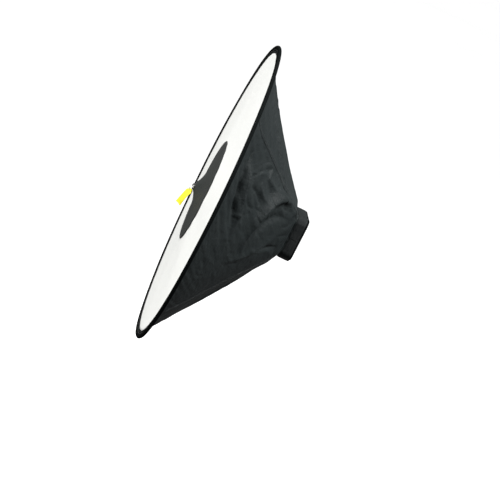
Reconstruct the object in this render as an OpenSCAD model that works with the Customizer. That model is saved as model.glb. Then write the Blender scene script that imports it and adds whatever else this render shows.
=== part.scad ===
// Collapsible round softbox that fits over the head of a small flash.
// The origin is the centre of the neck's mouth, the light leaves along -Y, and +Z is up.

/* [Rim] */
// Outside diameter of the sprung rim
rim_d = 450; // [420:5:480]
// Width of the folded binding round the rim
binding_w = 12; // [11:1:16]
// Diameter of the spring wire in the rim
wire_d = 3; // [2.4:0.1:3.2]

/* [Cone] */
// Depth from the neck's mouth to the plane of the rim
rim_depth = 142; // [132:1:146]
// Thickness of the coated nylon
nylon_t = 0.5; // [0.3:0.05:0.5]
// Thickness of the silver lining
lining_t = 0.3; // [0.2:0.05:0.3]
// Width of the tape over each seam
tape_w = 8; // [6:1:12]

/* [Front] */
// Diameter of the dark disc in the middle of the diffuser
disc_d = 150; // [120:5:180]
// How far the tent's slope carries the cloth forward for each factor of e in radius
tent_rise = 5.2; // [4.8:0.1:6.4]
// Radius of the flat top where the cloth lies on the hub
tent_top_r = 6.5; // [6.2:0.1:6.8]

/* [Neck] */
// Width of the flash head that the neck holds
head_w = 76; // [74:1:78]
// Height of the flash head that the neck holds
head_h = 54; // [52:1:56]
// Length of the neck from its mouth to the start of the cone
neck_len = 19; // [18:1:22]
// Width of the webbing strap round the neck
strap_w = 14; // [12:0.5:14]
// Length of the strap's free tail
tail_len = 44; // [36:1:46]

/* [Struts] */
// Diameter of the fibreglass rods
rod_d = 3; // [2.5:0.1:3.2]
// Distance of each strut's pivot from the light axis
pivot_r = 50; // [49:0.5:50.5]
// Direction of the upper right pivot, from level, seen from the front
pivot_dir = 36; // [35:1:37]
// Distance of the pivots from the neck's mouth
pivot_z = 32; // [31.5:0.5:33]
// Distance of the hub's magnets from the light axis
seat_r = 7; // [6.8:0.1:7.5]
// Distance of the hub's magnets from the neck's mouth
seat_z = 131; // [129:0.5:132]

/* [Pull tab] */
// Width of the ribbon
tab_w = 10; // [8:1:14]
// Length of the ribbon
tab_len = 29; // [22:1:34]
// How far the ribbon's curl holds it forward of straight down
tab_tilt = 10; // [0:1:20]

/* [Hidden] */
$fn = 96;
rim_r = rim_d / 2;
roll_r = wire_d / 2 + 1.2;
hoop_r = rim_r - roll_r;
binding_in = rim_r - binding_w;
tuck_r = binding_in + 4;
leaf_t = 0.5;
slot_t = 1.4;
disc_r = disc_d / 2;
overlap = 5;
cloth_t = 0.4;
fit = 0.05;
pad_t = 1.2;
sleeve_t = 1.2;
strap_t = 1.3;
corner_r = 10;
socket_w = head_w + 0.4;
socket_h = head_h + 0.4;
sleeve_grow = 2 * (pad_t + fit + sleeve_t);
neck_grow = sleeve_grow + 2 * (fit + strap_t);
neck_w = socket_w + neck_grow;
neck_h = socket_h + neck_grow;
hem_len = 2;
strap_z = hem_len + 0.6;
strap_mid_y = -strap_z - strap_w / 2;
frame_z = neck_len - 1;
frame_len = 9.5;
frame_wall = 2.1;
pin_r = 1.5;
foot_w = 4;
ear_t = 2;
ear_gap = 0.3;
ear_r = 3.6;
lean = atan((pivot_r - seat_r) / (seat_z - pivot_z));
strut_len = norm([pivot_r - seat_r, seat_z - pivot_z]);
seat_gap = 0.3;
magnet_t = 2;
tip_r = 3.3;
tip_len = 12;
foot_len = 16;
post_r = 2.5;
eye_r = 2.45;
string_r = 0.6;
loop_len = 11;
loop_half = 3;
buckle_t = 2.4;
buckle_bar = 1.8;
// The cloth's height over the rim's plane, on the hub and out to the rim
function tent(r) = tent_rise * ln(binding_in / max(r, tent_top_r));
top_z = rim_depth + tent(0);
disc_z = 0.75;
eye_z = top_z + disc_z + 2.05;
strut_dirs = [pivot_dir, 180 - pivot_dir, 180 + pivot_dir, -pivot_dir];

// Turns a shape drawn along +Z so that it runs forward from the neck's mouth along -Y
module facing() {
    rotate([90, 0, 0]) children();
}

// Places a shape with its +X outward, its +Y across and its +Z forward, at a strut's pivot
module at_pivot(direction) {
    facing() rotate([0, 0, direction]) translate([pivot_r, 0, pivot_z]) children();
}

// Places a shape drawn along +Z on the line from a pivot to its seat on the hub
module on_strut(direction) {
    at_pivot(direction) rotate([0, -lean, 0]) children();
}

// A rectangle with rounded corners
module rounded_rect(w, h, r) {
    square([w, h - 2 * r], center = true);
    square([w - 2 * r, h], center = true);
    for (x = [-1, 1])
        for (y = [-1, 1])
            translate([x * (w / 2 - r), y * (h / 2 - r)]) circle(r = r);
}

// A straight tube of that section, with its outside grown from the flash head's socket
module neck_tube(z, len, grow, wall) {
    facing() translate([0, 0, z]) linear_extrude(len) difference() {
        rounded_rect(socket_w + grow, socket_h + grow, corner_r - (neck_grow - grow) / 2);
        rounded_rect(socket_w + grow - 2 * wall, socket_h + grow - 2 * wall,
            corner_r - (neck_grow - grow) / 2 - wall);
    }
}

// A cloth of revolution that follows the tent from one radius to another
module tent_cloth(r0, r1, base, thickness, steps) {
    radii = [for (i = [0:steps]) r0 * pow(r1 / r0, i / steps)];
    under = [for (r = radii) [r, rim_depth + base + tent(r)]];
    over = [for (i = [steps:-1:0]) [radii[i], rim_depth + base + thickness + tent(radii[i])]];
    facing() rotate_extrude() polygon(concat(under, over));
}

// A point of the neck's rounded outline for a direction, 45 degrees being a corner's middle
function neck_point(w, h, direction) =
    let (
        turn = 90 * floor((direction + 45) / 90),
        a = direction - turn,
        flat = 36,
        swapped = (turn / 90) % 2 != 0,
        half_x = (swapped ? h : w) / 2,
        half_y = (swapped ? w : h) / 2,
        bend = max(abs(a) - flat, 0) * 45 / (45 - flat),
        x = half_x - corner_r + corner_r * cos(bend),
        y = (half_y - corner_r) * min(abs(a), flat) / flat + corner_r * sin(bend),
        side = a < 0 ? -y : y
    )
    [x * cos(turn) - side * sin(turn), x * sin(turn) + side * cos(turn)];

// A point of the cone's wall at a depth in from the outside, s running from neck to rim
function cone_point(s, direction, depth_in) =
    let (
        n = neck_point(neck_w, neck_h, direction),
        start_r = norm(n),
        span_r = binding_in - start_r,
        span_z = rim_depth - neck_len,
        slope = norm([span_r, span_z]),
        base = [
            n[0] + (binding_in * cos(direction) - n[0]) * s,
            n[1] + (binding_in * sin(direction) - n[1]) * s
        ],
        out = base / norm(base),
        shift_r = -depth_in * span_z / slope,
        shift_z = depth_in * span_r / slope * min(1, 8 * s)
    )
    [base[0] + out[0] * shift_r, base[1] + out[1] * shift_r,
     neck_len + (span_z - 0.65) * s + min(shift_z, depth_in)];

// One row of the wall, and the flat edge that is tucked into the rim's binding
function cone_row(s, directions, depth_in) = [for (a = directions) cone_point(s, a, depth_in)];
function tuck_row(directions, depth_in) =
    [for (a = directions) [tuck_r * cos(a), tuck_r * sin(a), rim_depth - 0.65 + depth_in]];

// A closed sheet between two grids of points that have the same rows and columns
module sheet(outer, inner) {
    rows = len(outer);
    cols = len(outer[0]);
    half = rows * cols;
    points = concat([for (row = outer) for (p = row) p], [for (row = inner) for (p = row) p]);
    top = [for (i = [0:rows - 2]) for (j = [0:cols - 2]) let (a = i * cols + j)
        each [[a, a + 1, a + cols], [a + 1, a + cols + 1, a + cols]]];
    under = [for (f = top) [f[0] + half, f[2] + half, f[1] + half]];
    ends = [for (j = [0:cols - 2]) let (a = j, b = (rows - 1) * cols + j)
        each [[a, a + half, a + 1], [a + 1, a + half, a + half + 1],
              [b, b + 1, b + half], [b + 1, b + half + 1, b + half]]];
    sides = [for (i = [0:rows - 2]) let (a = i * cols, b = i * cols + cols - 1)
        each [[a, a + cols, a + half], [a + cols, a + cols + half, a + half],
              [b, b + half, b + cols], [b + cols, b + half, b + cols + half]]];
    polyhedron(points, concat(top, under, ends, sides), convexity = 6);
}

// A stretch of the cone's wall between two directions, from one depth in to another
module cone_wall(a0, a1, depth0, depth1, cols, rows) {
    directions = [for (j = [0:cols]) a0 + (a1 - a0) * j / cols];
    steps = [for (i = [0:rows]) i / rows];
    facing() sheet(
        concat([for (s = steps) cone_row(s, directions, depth0)],
            [tuck_row(directions, depth0)]),
        concat([for (s = steps) cone_row(s, directions, depth1)],
            [tuck_row(directions, depth1)])
    );
}

module gore(middle) {
    seam = 0.12;
    color([0.16, 0.17, 0.17]) cone_wall(middle - 45 + seam, middle + 45 - seam, 0, nylon_t, 20, 3);
}

// The rim: a closed spring hoop in a rolled and folded binding
module rim_hoop() {
    color("silver") facing() translate([0, 0, rim_depth]) rotate_extrude($fn = 180)
        translate([hoop_r, 0]) circle(d = wire_d, $fn = 32);
}

module hoop_ferrule() {
    color("goldenrod") facing() translate([0, 0, rim_depth]) rotate([0, 0, 267])
        rotate_extrude(angle = 6, $fn = 180) translate([hoop_r, 0]) difference() {
            circle(r = wire_d / 2 + 0.5, $fn = 32);
            circle(r = wire_d / 2 + 0.02, $fn = 32);
        }
}

module rim_binding() {
    color([0.09, 0.1, 0.1]) facing() translate([0, 0, rim_depth])
        rotate_extrude($fn = 180) difference() {
            union() {
                translate([hoop_r, 0]) circle(r = roll_r, $fn = 40);
                translate([binding_in, -slot_t / 2 - leaf_t])
                    square([hoop_r - binding_in, slot_t + 2 * leaf_t]);
            }
            translate([hoop_r, 0]) circle(r = roll_r - 0.5, $fn = 40);
            translate([binding_in - 1, -slot_t / 2]) square([tuck_r + 1.3 - binding_in, slot_t]);
        }
}

// The cone: four gores, a lining and a tape over each seam
module gore_top() {
    gore(90);
}

module gore_bottom() {
    gore(270);
}

module gore_left() {
    gore(180);
}

module gore_right() {
    gore(0);
}

module silver_lining() {
    depth0 = nylon_t + fit;
    color([0.75, 0.76, 0.78]) for (middle = [0:90:270])
        cone_wall(middle - 44.9, middle + 44.9, depth0, depth0 + lining_t, 20, 3);
}

module seam_tapes() {
    depth0 = nylon_t + lining_t + 6 * fit;
    steps = [for (i = [0:4]) 0.13 + 0.85 * i / 4];
    color([0.7, 0.71, 0.73]) for (seam = [45:90:315]) facing() sheet(
        [for (s = steps) tape_row(s, seam, depth0)],
        [for (s = steps) tape_row(s, seam, depth0 + 0.4)]
    );
}

function tape_row(s, seam, depth_in) =
    let (half = asin(tape_w / 2 / norm(cone_point(s, seam, 0))))
    [for (k = [-1:1]) cone_point(s, seam + k * half, depth_in)];

// The front: a white diffuser, and a dark disc with a reflector behind it
module front_diffuser() {
    color([0.97, 0.97, 0.95]) union() {
        tent_cloth(disc_r - overlap, binding_in, 0.25, cloth_t, 12);
        facing() translate([0, 0, rim_depth + 0.25]) difference() {
            cylinder(r = tuck_r, h = cloth_t, $fn = 180);
            translate([0, 0, -1]) cylinder(r = binding_in - 0.01, h = 3, $fn = 180);
        }
    }
}

module centre_disc() {
    color([0.24, 0.24, 0.25]) tent_cloth(post_r + 0.1, disc_r, disc_z, cloth_t + 0.1, 18);
}

module disc_reflector() {
    color([0.78, 0.79, 0.8]) tent_cloth(8, disc_r - overlap - 0.5, 0.25, cloth_t, 12);
}

// The neck: a moulded frame, a soft sleeve with grip pads, and a strap that closes it
module neck_frame() {
    color([0.13, 0.13, 0.14]) {
        neck_tube(frame_z, frame_len, 2 * frame_wall, frame_wall);
        for (a = strut_dirs) at_pivot(a) clevis();
    }
}

// Two ears on a block that grows out of the frame's corner
module clevis() {
    half = foot_w / 2 + ear_gap;
    block_z = frame_z + frame_len - 3 - pivot_z;
    translate([44.8 - pivot_r, -half - ear_t, block_z])
        cube([7.7, 2 * (half + ear_t), pivot_z - frame_z - frame_len + 3 - 4]);
    for (side = [-1, 1]) translate([0, side * (half + ear_t / 2), 0]) difference() {
        union() {
            rotate([90, 0, 0]) cylinder(r = ear_r, h = ear_t, center = true);
            translate([-ear_r, -ear_t / 2, block_z]) cube([2 * ear_r - 1.3, ear_t, -block_z]);
        }
        rotate([90, 0, 0]) cylinder(r = pin_r + 0.02, h = ear_t + 2, center = true);
    }
}

module pivot_pins() {
    color("silver") for (a = strut_dirs) at_pivot(a) rotate([90, 0, 0])
        cylinder(r = pin_r, h = foot_w + 2 * (ear_gap + ear_t) + 0.6, center = true);
}

module neck_sleeve() {
    color([0.12, 0.12, 0.12]) neck_tube(hem_len + 0.1, frame_z - hem_len - 0.2, sleeve_grow, sleeve_t);
}

module neck_hem() {
    color([0.08, 0.08, 0.08]) neck_tube(0, hem_len, sleeve_grow + 2, sleeve_t + 1);
}

module grip_pads() {
    len = frame_z - hem_len - 1.6;
    color([0.2, 0.2, 0.21]) for (side = [-1, 1]) {
        translate([side * (socket_w + pad_t) / 2, -hem_len - 0.8 - len / 2, 0])
            cube([pad_t, len, socket_h - 22], center = true);
        translate([0, -hem_len - 0.8 - len / 2, side * (socket_h + pad_t) / 2])
            cube([socket_w - 22, len, pad_t], center = true);
    }
}

module cinch_strap() {
    color([0.1, 0.1, 0.1]) neck_tube(strap_z, strap_w, neck_grow, strap_t);
}

// A flat moulded loop sewn under the strap, which the tail comes through
module strap_buckle() {
    color([0.07, 0.07, 0.07]) translate([26, strap_mid_y, -neck_h / 2 - 0.1 - buckle_t / 2])
        difference() {
            cube([9, strap_w + 2 * buckle_bar, buckle_t], center = true);
            translate([0.6, 0, 0]) cube([4, strap_w + 0.6, buckle_t + 2], center = true);
        }
}

// The strap's end, folded back through the buckle and held by its hooks
module strap_tail() {
    color([0.11, 0.11, 0.11])
        translate([19.5 - tail_len / 2, strap_mid_y, -neck_h / 2 - 0.3 - strap_t / 2])
            cube([tail_len, strap_w, strap_t], center = true);
}

// The hub: a core with four magnets, and a post that carries the middle of the disc
module hub_core() {
    rim = 13;
    color([0.15, 0.15, 0.16]) difference() {
        facing() rotate_extrude() polygon([
            [0, seat_z - seat_r * tan(lean)],
            [rim, seat_z + (rim - seat_r) * tan(lean)],
            [rim, seat_z + 6],
            [rim - 2, seat_z + 7.5],
            [5.5, seat_z + 8.5],
            [5.5, seat_z + 11],
            [0, seat_z + 11]
        ]);
        facing() translate([0, 0, seat_z + 1]) cylinder(r = post_r + 0.02, h = 20);
        for (a = strut_dirs) on_strut(a)
            translate([0, 0, strut_len - 2]) cylinder(r = 3.02, h = magnet_t + 2.02);
    }
}

module hub_magnets() {
    color("silver") for (a = strut_dirs) on_strut(a)
        translate([0, 0, strut_len]) cylinder(r = 3, h = magnet_t);
}

// A rod that ends in a flat eye in front of the disc
module hub_post() {
    color([0.15, 0.15, 0.16]) facing() difference() {
        union() {
            translate([0, 0, seat_z + 1.1]) cylinder(r = post_r, h = eye_z - seat_z - 1.1 - 1.5);
            translate([0, 0, eye_z]) rotate([0, 90, 0]) cylinder(r = eye_r, h = 2.4, center = true);
        }
        translate([0, 0, eye_z]) rotate([0, 90, 0]) cylinder(r = string_r + 0.5, h = 8, center = true);
    }
}

module hub_cap() {
    under = top_z + disc_z - 0.1;
    color([0.15, 0.15, 0.16]) facing() rotate_extrude() polygon([
        [post_r + 0.02, under],
        [5.6, under],
        [6.3, under - 0.5],
        [6.3, under - 1.6],
        [4.6, under - 3.4],
        [post_r + 0.02, under - 3.4]
    ]);
}

module disc_washer() {
    face = top_z + disc_z + cloth_t + 0.15;
    color([0.1, 0.1, 0.1]) facing() rotate_extrude() polygon([
        [post_r + 0.02, face],
        [6, face],
        [6, face + 0.4],
        [5.4, face + 0.9],
        [post_r + 0.02, face + 0.9]
    ]);
}

// Places a shape whose -Y hangs down the tab, with its +X across, at the post's eye
module at_tab() {
    facing() translate([0, 0, eye_z]) rotate([-tab_tilt, 0, 0]) children();
}

// A closed loop of string through the eye
module tab_loop() {
    bend = 1.4;
    color([0.95, 0.85, 0.2]) at_tab() {
        for (y = [0, -loop_len]) translate([0, y, 0]) rotate([0, 90, 0])
            cylinder(r = string_r, h = 2 * (loop_half - bend), center = true, $fn = 24);
        for (x = [-1, 1]) {
            translate([x * loop_half, bend - loop_len, 0]) rotate([-90, 0, 0])
                cylinder(r = string_r, h = loop_len - 2 * bend, $fn = 24);
            for (end = [0, 1]) mirror([x < 0 ? 1 : 0, 0, 0])
                translate([loop_half - bend, -bend - end * (loop_len - 2 * bend), 0])
                    rotate([0, 0, -90 * end]) rotate_extrude(angle = 90, $fn = 48)
                        translate([bend, 0]) circle(r = string_r, $fn = 24);
        }
    }
}

// A folded ribbon that hangs on the loop, turned edgeways to the loop by a quarter twist of the string
module pull_tab() {
    hem = 2.6;
    color([0.98, 0.9, 0.15]) at_tab() translate([0, -loop_len, 0]) difference() {
        union() {
            rotate([0, 90, 0]) cylinder(r = 1.3, h = hem, center = true);
            translate([-0.45, -3, -hem / 2]) cube([0.9, 2.5, hem]);
            translate([-0.45, -tab_len, -tab_w / 2]) cube([0.9, tab_len - 2, tab_w]);
        }
        rotate([0, 90, 0]) cylinder(r = string_r + fit, h = hem + 2, center = true);
    }
}

// One strut: a foot that turns on its pin, a rod, and a tip that holds a magnet
module strut_foot(direction) {
    color([0.12, 0.12, 0.13]) on_strut(direction) difference() {
        union() {
            rotate([90, 0, 0]) cylinder(r = 3.4, h = foot_w, center = true);
            translate([0, 0, 3]) cylinder(r = 1.95, h = 4);
            translate([0, 0, 5]) cylinder(r = 2.7, h = foot_len - 5);
        }
        rotate([90, 0, 0]) cylinder(r = pin_r + 0.05, h = foot_w + 2, center = true);
        translate([0, 0, foot_len - 8]) cylinder(d = rod_d + 0.04, h = 10);
    }
}

module strut_rod(direction) {
    start = foot_len - 7.9;
    color([0.9, 0.88, 0.8]) on_strut(direction)
        translate([0, 0, start]) cylinder(d = rod_d, h = strut_len - seat_gap - 4.6 - start);
}

module strut_tip(direction) {
    end = strut_len - seat_gap;
    color([0.12, 0.12, 0.13]) on_strut(direction) difference() {
        union() {
            translate([0, 0, end - tip_len]) cylinder(r1 = 2.3, r2 = tip_r, h = 4);
            translate([0, 0, end - tip_len + 4]) cylinder(r = tip_r, h = tip_len - 4);
        }
        translate([0, 0, end - tip_len - 1]) cylinder(d = rod_d + 0.04, h = tip_len + 1 - 4.5);
        translate([0, 0, end - magnet_t]) cylinder(r = 2.52, h = magnet_t + 1);
    }
}

module strut_magnet(direction) {
    color("silver") on_strut(direction)
        translate([0, 0, strut_len - seat_gap - magnet_t]) cylinder(r = 2.5, h = magnet_t);
}

rim_hoop();
hoop_ferrule();
rim_binding();
gore_top();
gore_bottom();
gore_left();
gore_right();
silver_lining();
seam_tapes();
front_diffuser();
centre_disc();
disc_reflector();
neck_frame();
pivot_pins();
neck_sleeve();
neck_hem();
grip_pads();
cinch_strap();
strap_buckle();
strap_tail();
hub_core();
hub_magnets();
hub_post();
hub_cap();
disc_washer();
tab_loop();
pull_tab();
strut_foot(strut_dirs[0]);  // upper_right_foot
strut_rod(strut_dirs[0]);  // upper_right_rod
strut_tip(strut_dirs[0]);  // upper_right_tip
strut_magnet(strut_dirs[0]);  // upper_right_magnet
strut_foot(strut_dirs[1]);  // upper_left_foot
strut_rod(strut_dirs[1]);  // upper_left_rod
strut_tip(strut_dirs[1]);  // upper_left_tip
strut_magnet(strut_dirs[1]);  // upper_left_magnet
strut_foot(strut_dirs[2]);  // lower_left_foot
strut_rod(strut_dirs[2]);  // lower_left_rod
strut_tip(strut_dirs[2]);  // lower_left_tip
strut_magnet(strut_dirs[2]);  // lower_left_magnet
strut_foot(strut_dirs[3]);  // lower_right_foot
strut_rod(strut_dirs[3]);  // lower_right_rod
strut_tip(strut_dirs[3]);  // lower_right_tip
strut_magnet(strut_dirs[3]);  // lower_right_magnet
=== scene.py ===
"""A collapsible round softbox for a small flash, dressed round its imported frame.

The softbox is worked out in forward axes: x to the right, y up, and z forward from the neck's mouth
to the light. Every finished point is turned into the frame's own axes, where the light leaves along
-Y. Lengths are in metres.
"""

import logging
import math
from dataclasses import dataclass, field
from enum import Enum

import bpy
import numpy as np
from mathutils import Matrix, Vector


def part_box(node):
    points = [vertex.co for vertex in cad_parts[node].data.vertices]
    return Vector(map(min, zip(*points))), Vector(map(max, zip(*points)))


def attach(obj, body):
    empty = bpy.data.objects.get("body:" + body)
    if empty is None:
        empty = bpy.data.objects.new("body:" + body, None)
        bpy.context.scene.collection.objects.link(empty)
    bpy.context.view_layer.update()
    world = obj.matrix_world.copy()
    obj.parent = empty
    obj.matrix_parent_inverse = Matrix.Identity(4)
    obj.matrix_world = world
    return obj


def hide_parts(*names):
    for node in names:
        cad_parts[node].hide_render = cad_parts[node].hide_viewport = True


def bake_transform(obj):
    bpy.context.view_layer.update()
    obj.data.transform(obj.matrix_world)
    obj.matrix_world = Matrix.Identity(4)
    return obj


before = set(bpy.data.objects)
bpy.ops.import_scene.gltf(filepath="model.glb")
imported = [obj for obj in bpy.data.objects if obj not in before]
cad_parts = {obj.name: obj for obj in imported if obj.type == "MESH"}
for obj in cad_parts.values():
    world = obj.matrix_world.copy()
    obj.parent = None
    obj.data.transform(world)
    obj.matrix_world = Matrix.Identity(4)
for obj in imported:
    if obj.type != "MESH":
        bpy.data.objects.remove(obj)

Array = np.ndarray
MM = 0.001
TURN = 2.0 * math.pi
LOG = logging.getLogger("softbox")


class Coord(Enum):
    """Where a finish reads its pattern's place from."""

    CLOTH = "UV"
    SOLID = "Object"


class Hold(Enum):
    """How a sheet of cloth is held."""

    STRETCHED = "stretched"
    HUNG = "hung"
    FOLDED = "folded"


# ---------------------------------------------------------------------------------------------
# Shapes
# ---------------------------------------------------------------------------------------------


def facing(points: Array) -> Array:
    """Turns points from forward axes into the frame's axes.

    Args:
        points: An array whose last axis is x, y up and z forward.

    Returns:
        The same points as X, Y, Z of the frame, where forward is -Y.
    """
    return np.stack([points[..., 0], -points[..., 2], points[..., 1]], axis=-1)


def polar(radius: Array, angle: Array, height: Array) -> Array:
    """Returns forward-axes points at a radius and an angle about the light axis, at a height."""
    radius, angle, height = np.broadcast_arrays(radius, angle, height)
    return np.stack([radius * np.cos(angle), radius * np.sin(angle), height], axis=-1)


def unit(vectors: Array) -> Array:
    """Returns the vectors at length one."""
    return vectors / np.maximum(np.linalg.norm(vectors, axis=-1, keepdims=True), 1e-12)


def smooth(value: Array, low: float, high: float) -> Array:
    """Returns the smooth step of a value from 0 at low to 1 at high."""
    t = np.clip((value - low) / (high - low), 0.0, 1.0)
    return t * t * (3.0 - 2.0 * t)


def grid_normals(points: Array, wrap: bool) -> Array:
    """Works out a grid's normals as the cross product of its two directions of travel.

    Args:
        points: Rows by columns by three.
        wrap: Whether the last column joins the first.

    Returns:
        Unit normals, rows by columns by three.
    """
    along = np.gradient(points, axis=0)
    if wrap:
        across = (np.roll(points, -1, axis=1) - np.roll(points, 1, axis=1)) / 2.0
    else:
        across = np.gradient(points, axis=1)
    return unit(np.cross(across, along))


def grid_faces(rows: int, cols: int, wrap: bool, start: int = 0, flip: bool = False) -> Array:
    """Lists the four corners of each face of a grid.

    Args:
        rows: How many rows of points there are.
        cols: How many columns of points there are.
        wrap: Whether the last column joins the first.
        start: The index of the grid's first point.
        flip: Whether the faces look the other way.

    Returns:
        Faces by four point indices.
    """
    row = np.arange(rows - 1)[:, None] * cols
    here = np.arange(cols if wrap else cols - 1)[None, :]
    there = (here + 1) % cols
    quads = np.stack([row + here, row + there, row + cols + there, row + cols + here], axis=-1)
    quads = quads.reshape(-1, 4) + start
    return quads[:, ::-1] if flip else quads


def strip_faces(first: Array, second: Array, wrap: bool, flip: bool) -> Array:
    """Joins two equal runs of points with a strip of faces.

    Args:
        first: Point indices along one edge.
        second: Point indices along the other edge.
        wrap: Whether the runs are closed.
        flip: Whether the strip looks the other way.

    Returns:
        Faces by four point indices.
    """
    if wrap:
        a, b = first, np.roll(first, -1)
        c, d = np.roll(second, -1), second
    else:
        a, b, c, d = first[:-1], first[1:], second[1:], second[:-1]
    quads = np.stack([a, b, c, d], axis=-1)
    return quads[:, ::-1] if flip else quads


def make_piece(name: str, points: Array, quads: Array, uv: Array | None = None) -> bpy.types.Object:
    """Puts points and four-sided faces into a mesh object.

    Args:
        name: The piece's name.
        points: Points by three, in the frame's axes.
        quads: Faces by four point indices.
        uv: Points by two, in metres of cloth, or None.

    Returns:
        The new object, at the origin.
    """
    mesh = bpy.data.meshes.new(name)
    mesh.vertices.add(len(points))
    mesh.vertices.foreach_set("co", points.astype(np.float32).ravel())
    mesh.loops.add(quads.size)
    mesh.loops.foreach_set("vertex_index", quads.astype(np.int32).ravel())
    mesh.polygons.add(len(quads))
    mesh.polygons.foreach_set("loop_start", np.arange(0, quads.size, 4, dtype=np.int32))
    mesh.polygons.foreach_set("use_smooth", np.ones(len(quads), dtype=bool))
    mesh.update(calc_edges=True)
    if uv is not None:
        layer = mesh.uv_layers.new(name="cloth_metres")
        layer.data.foreach_set("uv", uv[quads.ravel()].astype(np.float32).ravel())
    mesh.validate()
    piece = bpy.data.objects.new(name, mesh)
    bpy.context.scene.collection.objects.link(piece)
    return piece


def make_shell(name: str, outer: Array, inner: Array, uv: Array, wrap: bool) -> bpy.types.Object:
    """Makes a closed sheet between an outer and an inner grid, with its edges turned over.

    Args:
        name: The piece's name.
        outer: Rows by columns by three, in forward axes, whose normals point outward.
        inner: The grid behind it, the same shape.
        uv: Rows by columns by two, in metres of cloth.
        wrap: Whether the last column joins the first.

    Returns:
        The new object.
    """
    rows, cols = outer.shape[:2]
    count = rows * cols
    index = np.arange(count).reshape(rows, cols)
    quads = [
        grid_faces(rows, cols, wrap),
        grid_faces(rows, cols, wrap, start=count, flip=True),
        strip_faces(index[0], index[0] + count, wrap, flip=True),
        strip_faces(index[-1], index[-1] + count, wrap, flip=False),
    ]
    if not wrap:
        quads.append(strip_faces(index[:, 0], index[:, 0] + count, False, flip=False))
        quads.append(strip_faces(index[:, -1], index[:, -1] + count, False, flip=True))
    points = facing(np.concatenate([outer.reshape(-1, 3), inner.reshape(-1, 3)]))
    both = np.concatenate([uv.reshape(-1, 2), uv.reshape(-1, 2)])
    return make_piece(name, points, np.concatenate(quads), both)


def sweep_ring(
    name: str, path: Array, outward: Array, axis: Array, profile: Array, lift: Array
) -> bpy.types.Object:
    """Carries a closed profile round a closed path.

    Args:
        name: The piece's name.
        path: Points by three, in forward axes.
        outward: The direction of the profile's x at each point.
        axis: The direction of the profile's y at each point.
        profile: Profile points by two, in metres, going round from outward towards the axis.
        lift: Path points by profile points by two, added to the profile at each point.

    Returns:
        The new object.
    """
    section = profile[None] + lift
    points = path[:, None] + section[..., :1] * outward[:, None] + section[..., 1:] * axis[:, None]
    rows, cols = points.shape[:2]
    run = np.concatenate([[0.0], np.cumsum(np.linalg.norm(np.diff(path, axis=0), axis=1))])
    girth = np.concatenate([[0.0], np.cumsum(np.linalg.norm(np.diff(profile, axis=0), axis=1))])
    uv = np.stack(np.broadcast_arrays(run[:, None], girth[None]), axis=-1)
    index = np.arange(rows * cols).reshape(rows, cols)
    ring = np.concatenate([index, index[:1]])
    a, b = ring[:-1], ring[1:]
    quads = np.stack([a, np.roll(a, -1, axis=1), np.roll(b, -1, axis=1), b], axis=-1).reshape(-1, 4)
    return make_piece(name, facing(points).reshape(-1, 3), quads, uv.reshape(-1, 2))


def rounded_path(half_w: float, half_h: float, corner: float, count: int) -> tuple[Array, Array]:
    """Walks a rounded rectangle at an even pace, counter-clockwise from the middle of its right side.

    Args:
        half_w: Half its width.
        half_h: Half its height.
        corner: The radius of its corners.
        count: How many points to return.

    Returns:
        Points by two, and their outward normals by two.
    """
    arc = np.linspace(0.0, math.pi / 2, 13)
    centres = [(1, 1), (-1, 1), (-1, -1), (1, -1)]
    legs = [
        np.stack([
            sx * (half_w - corner) + corner * np.cos(arc + k * math.pi / 2),
            sy * (half_h - corner) + corner * np.sin(arc + k * math.pi / 2),
        ], axis=-1)
        for k, (sx, sy) in enumerate(centres)
    ]
    start = np.array([[half_w, 0.0]])
    line = np.concatenate([start, *legs, start])
    run = np.concatenate([[0.0], np.cumsum(np.linalg.norm(np.diff(line, axis=0), axis=1))])
    at = np.linspace(0.0, run[-1], count, endpoint=False)
    path = np.stack([np.interp(at, run, line[:, k]) for k in range(2)], axis=-1)
    travel = unit(np.roll(path, -1, axis=0) - np.roll(path, 1, axis=0))
    return path, np.stack([travel[:, 1], -travel[:, 0]], axis=-1)


def ripples(angle: Array, seed: int, low: int, high: int, count: int) -> Array:
    """Adds up waves of whole numbers of cycles per turn, so that the result closes on itself.

    Args:
        angle: Angles in radians.
        seed: Which draw of waves to use.
        low: The fewest cycles in a turn.
        high: The most cycles in a turn.
        count: How many waves to add.

    Returns:
        Values of about -1 to 1.
    """
    draw = np.random.default_rng(seed)
    cycles = draw.integers(low, high, count)
    phase = draw.uniform(0.0, TURN, count)
    weight = draw.uniform(0.4, 1.0, count)
    waves = np.cos(angle[..., None] * cycles + phase) * weight
    return waves.sum(axis=-1) / math.sqrt(float((weight**2).sum()) * 1.6)


@dataclass(frozen=True)
class Crease:
    """One fold pressed into a cloth, as a soft ridge or valley along a bowed line.

    The height is depth over the square of the hyperbolic cosine of the distance across the fold, and it fades
    along the fold as a bell curve does. A skew makes one side of the fold steep and the other broad.
    """

    start: tuple[float, float]
    end: tuple[float, float]
    bow: float
    width: float
    depth: float
    skew: float = 0.0

    def height(self, u: Array, v: Array) -> Array:
        """Works out the fold's height on a cloth.

        Args:
            u: Distance across the cloth, in metres.
            v: Distance along the cloth, in metres.

        Returns:
            Heights in metres, the same shape as u.
        """
        a, b = np.array(self.start), np.array(self.end)
        half = np.linalg.norm(b - a) / 2.0
        way = (b - a) / (2.0 * half)
        middle = (a + b) / 2.0
        along = (u - middle[0]) * way[0] + (v - middle[1]) * way[1]
        across = (v - middle[1]) * way[0] - (u - middle[0]) * way[1]
        across = across - self.bow * (1.0 - (along / half) ** 2)
        fade = np.exp(-((along / half) ** 4) * 1.4)
        width = self.width * (1.0 + self.skew * np.tanh(across / self.width))
        return self.depth * fade / np.cosh(np.clip(across / width, -20.0, 20.0)) ** 2


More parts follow.
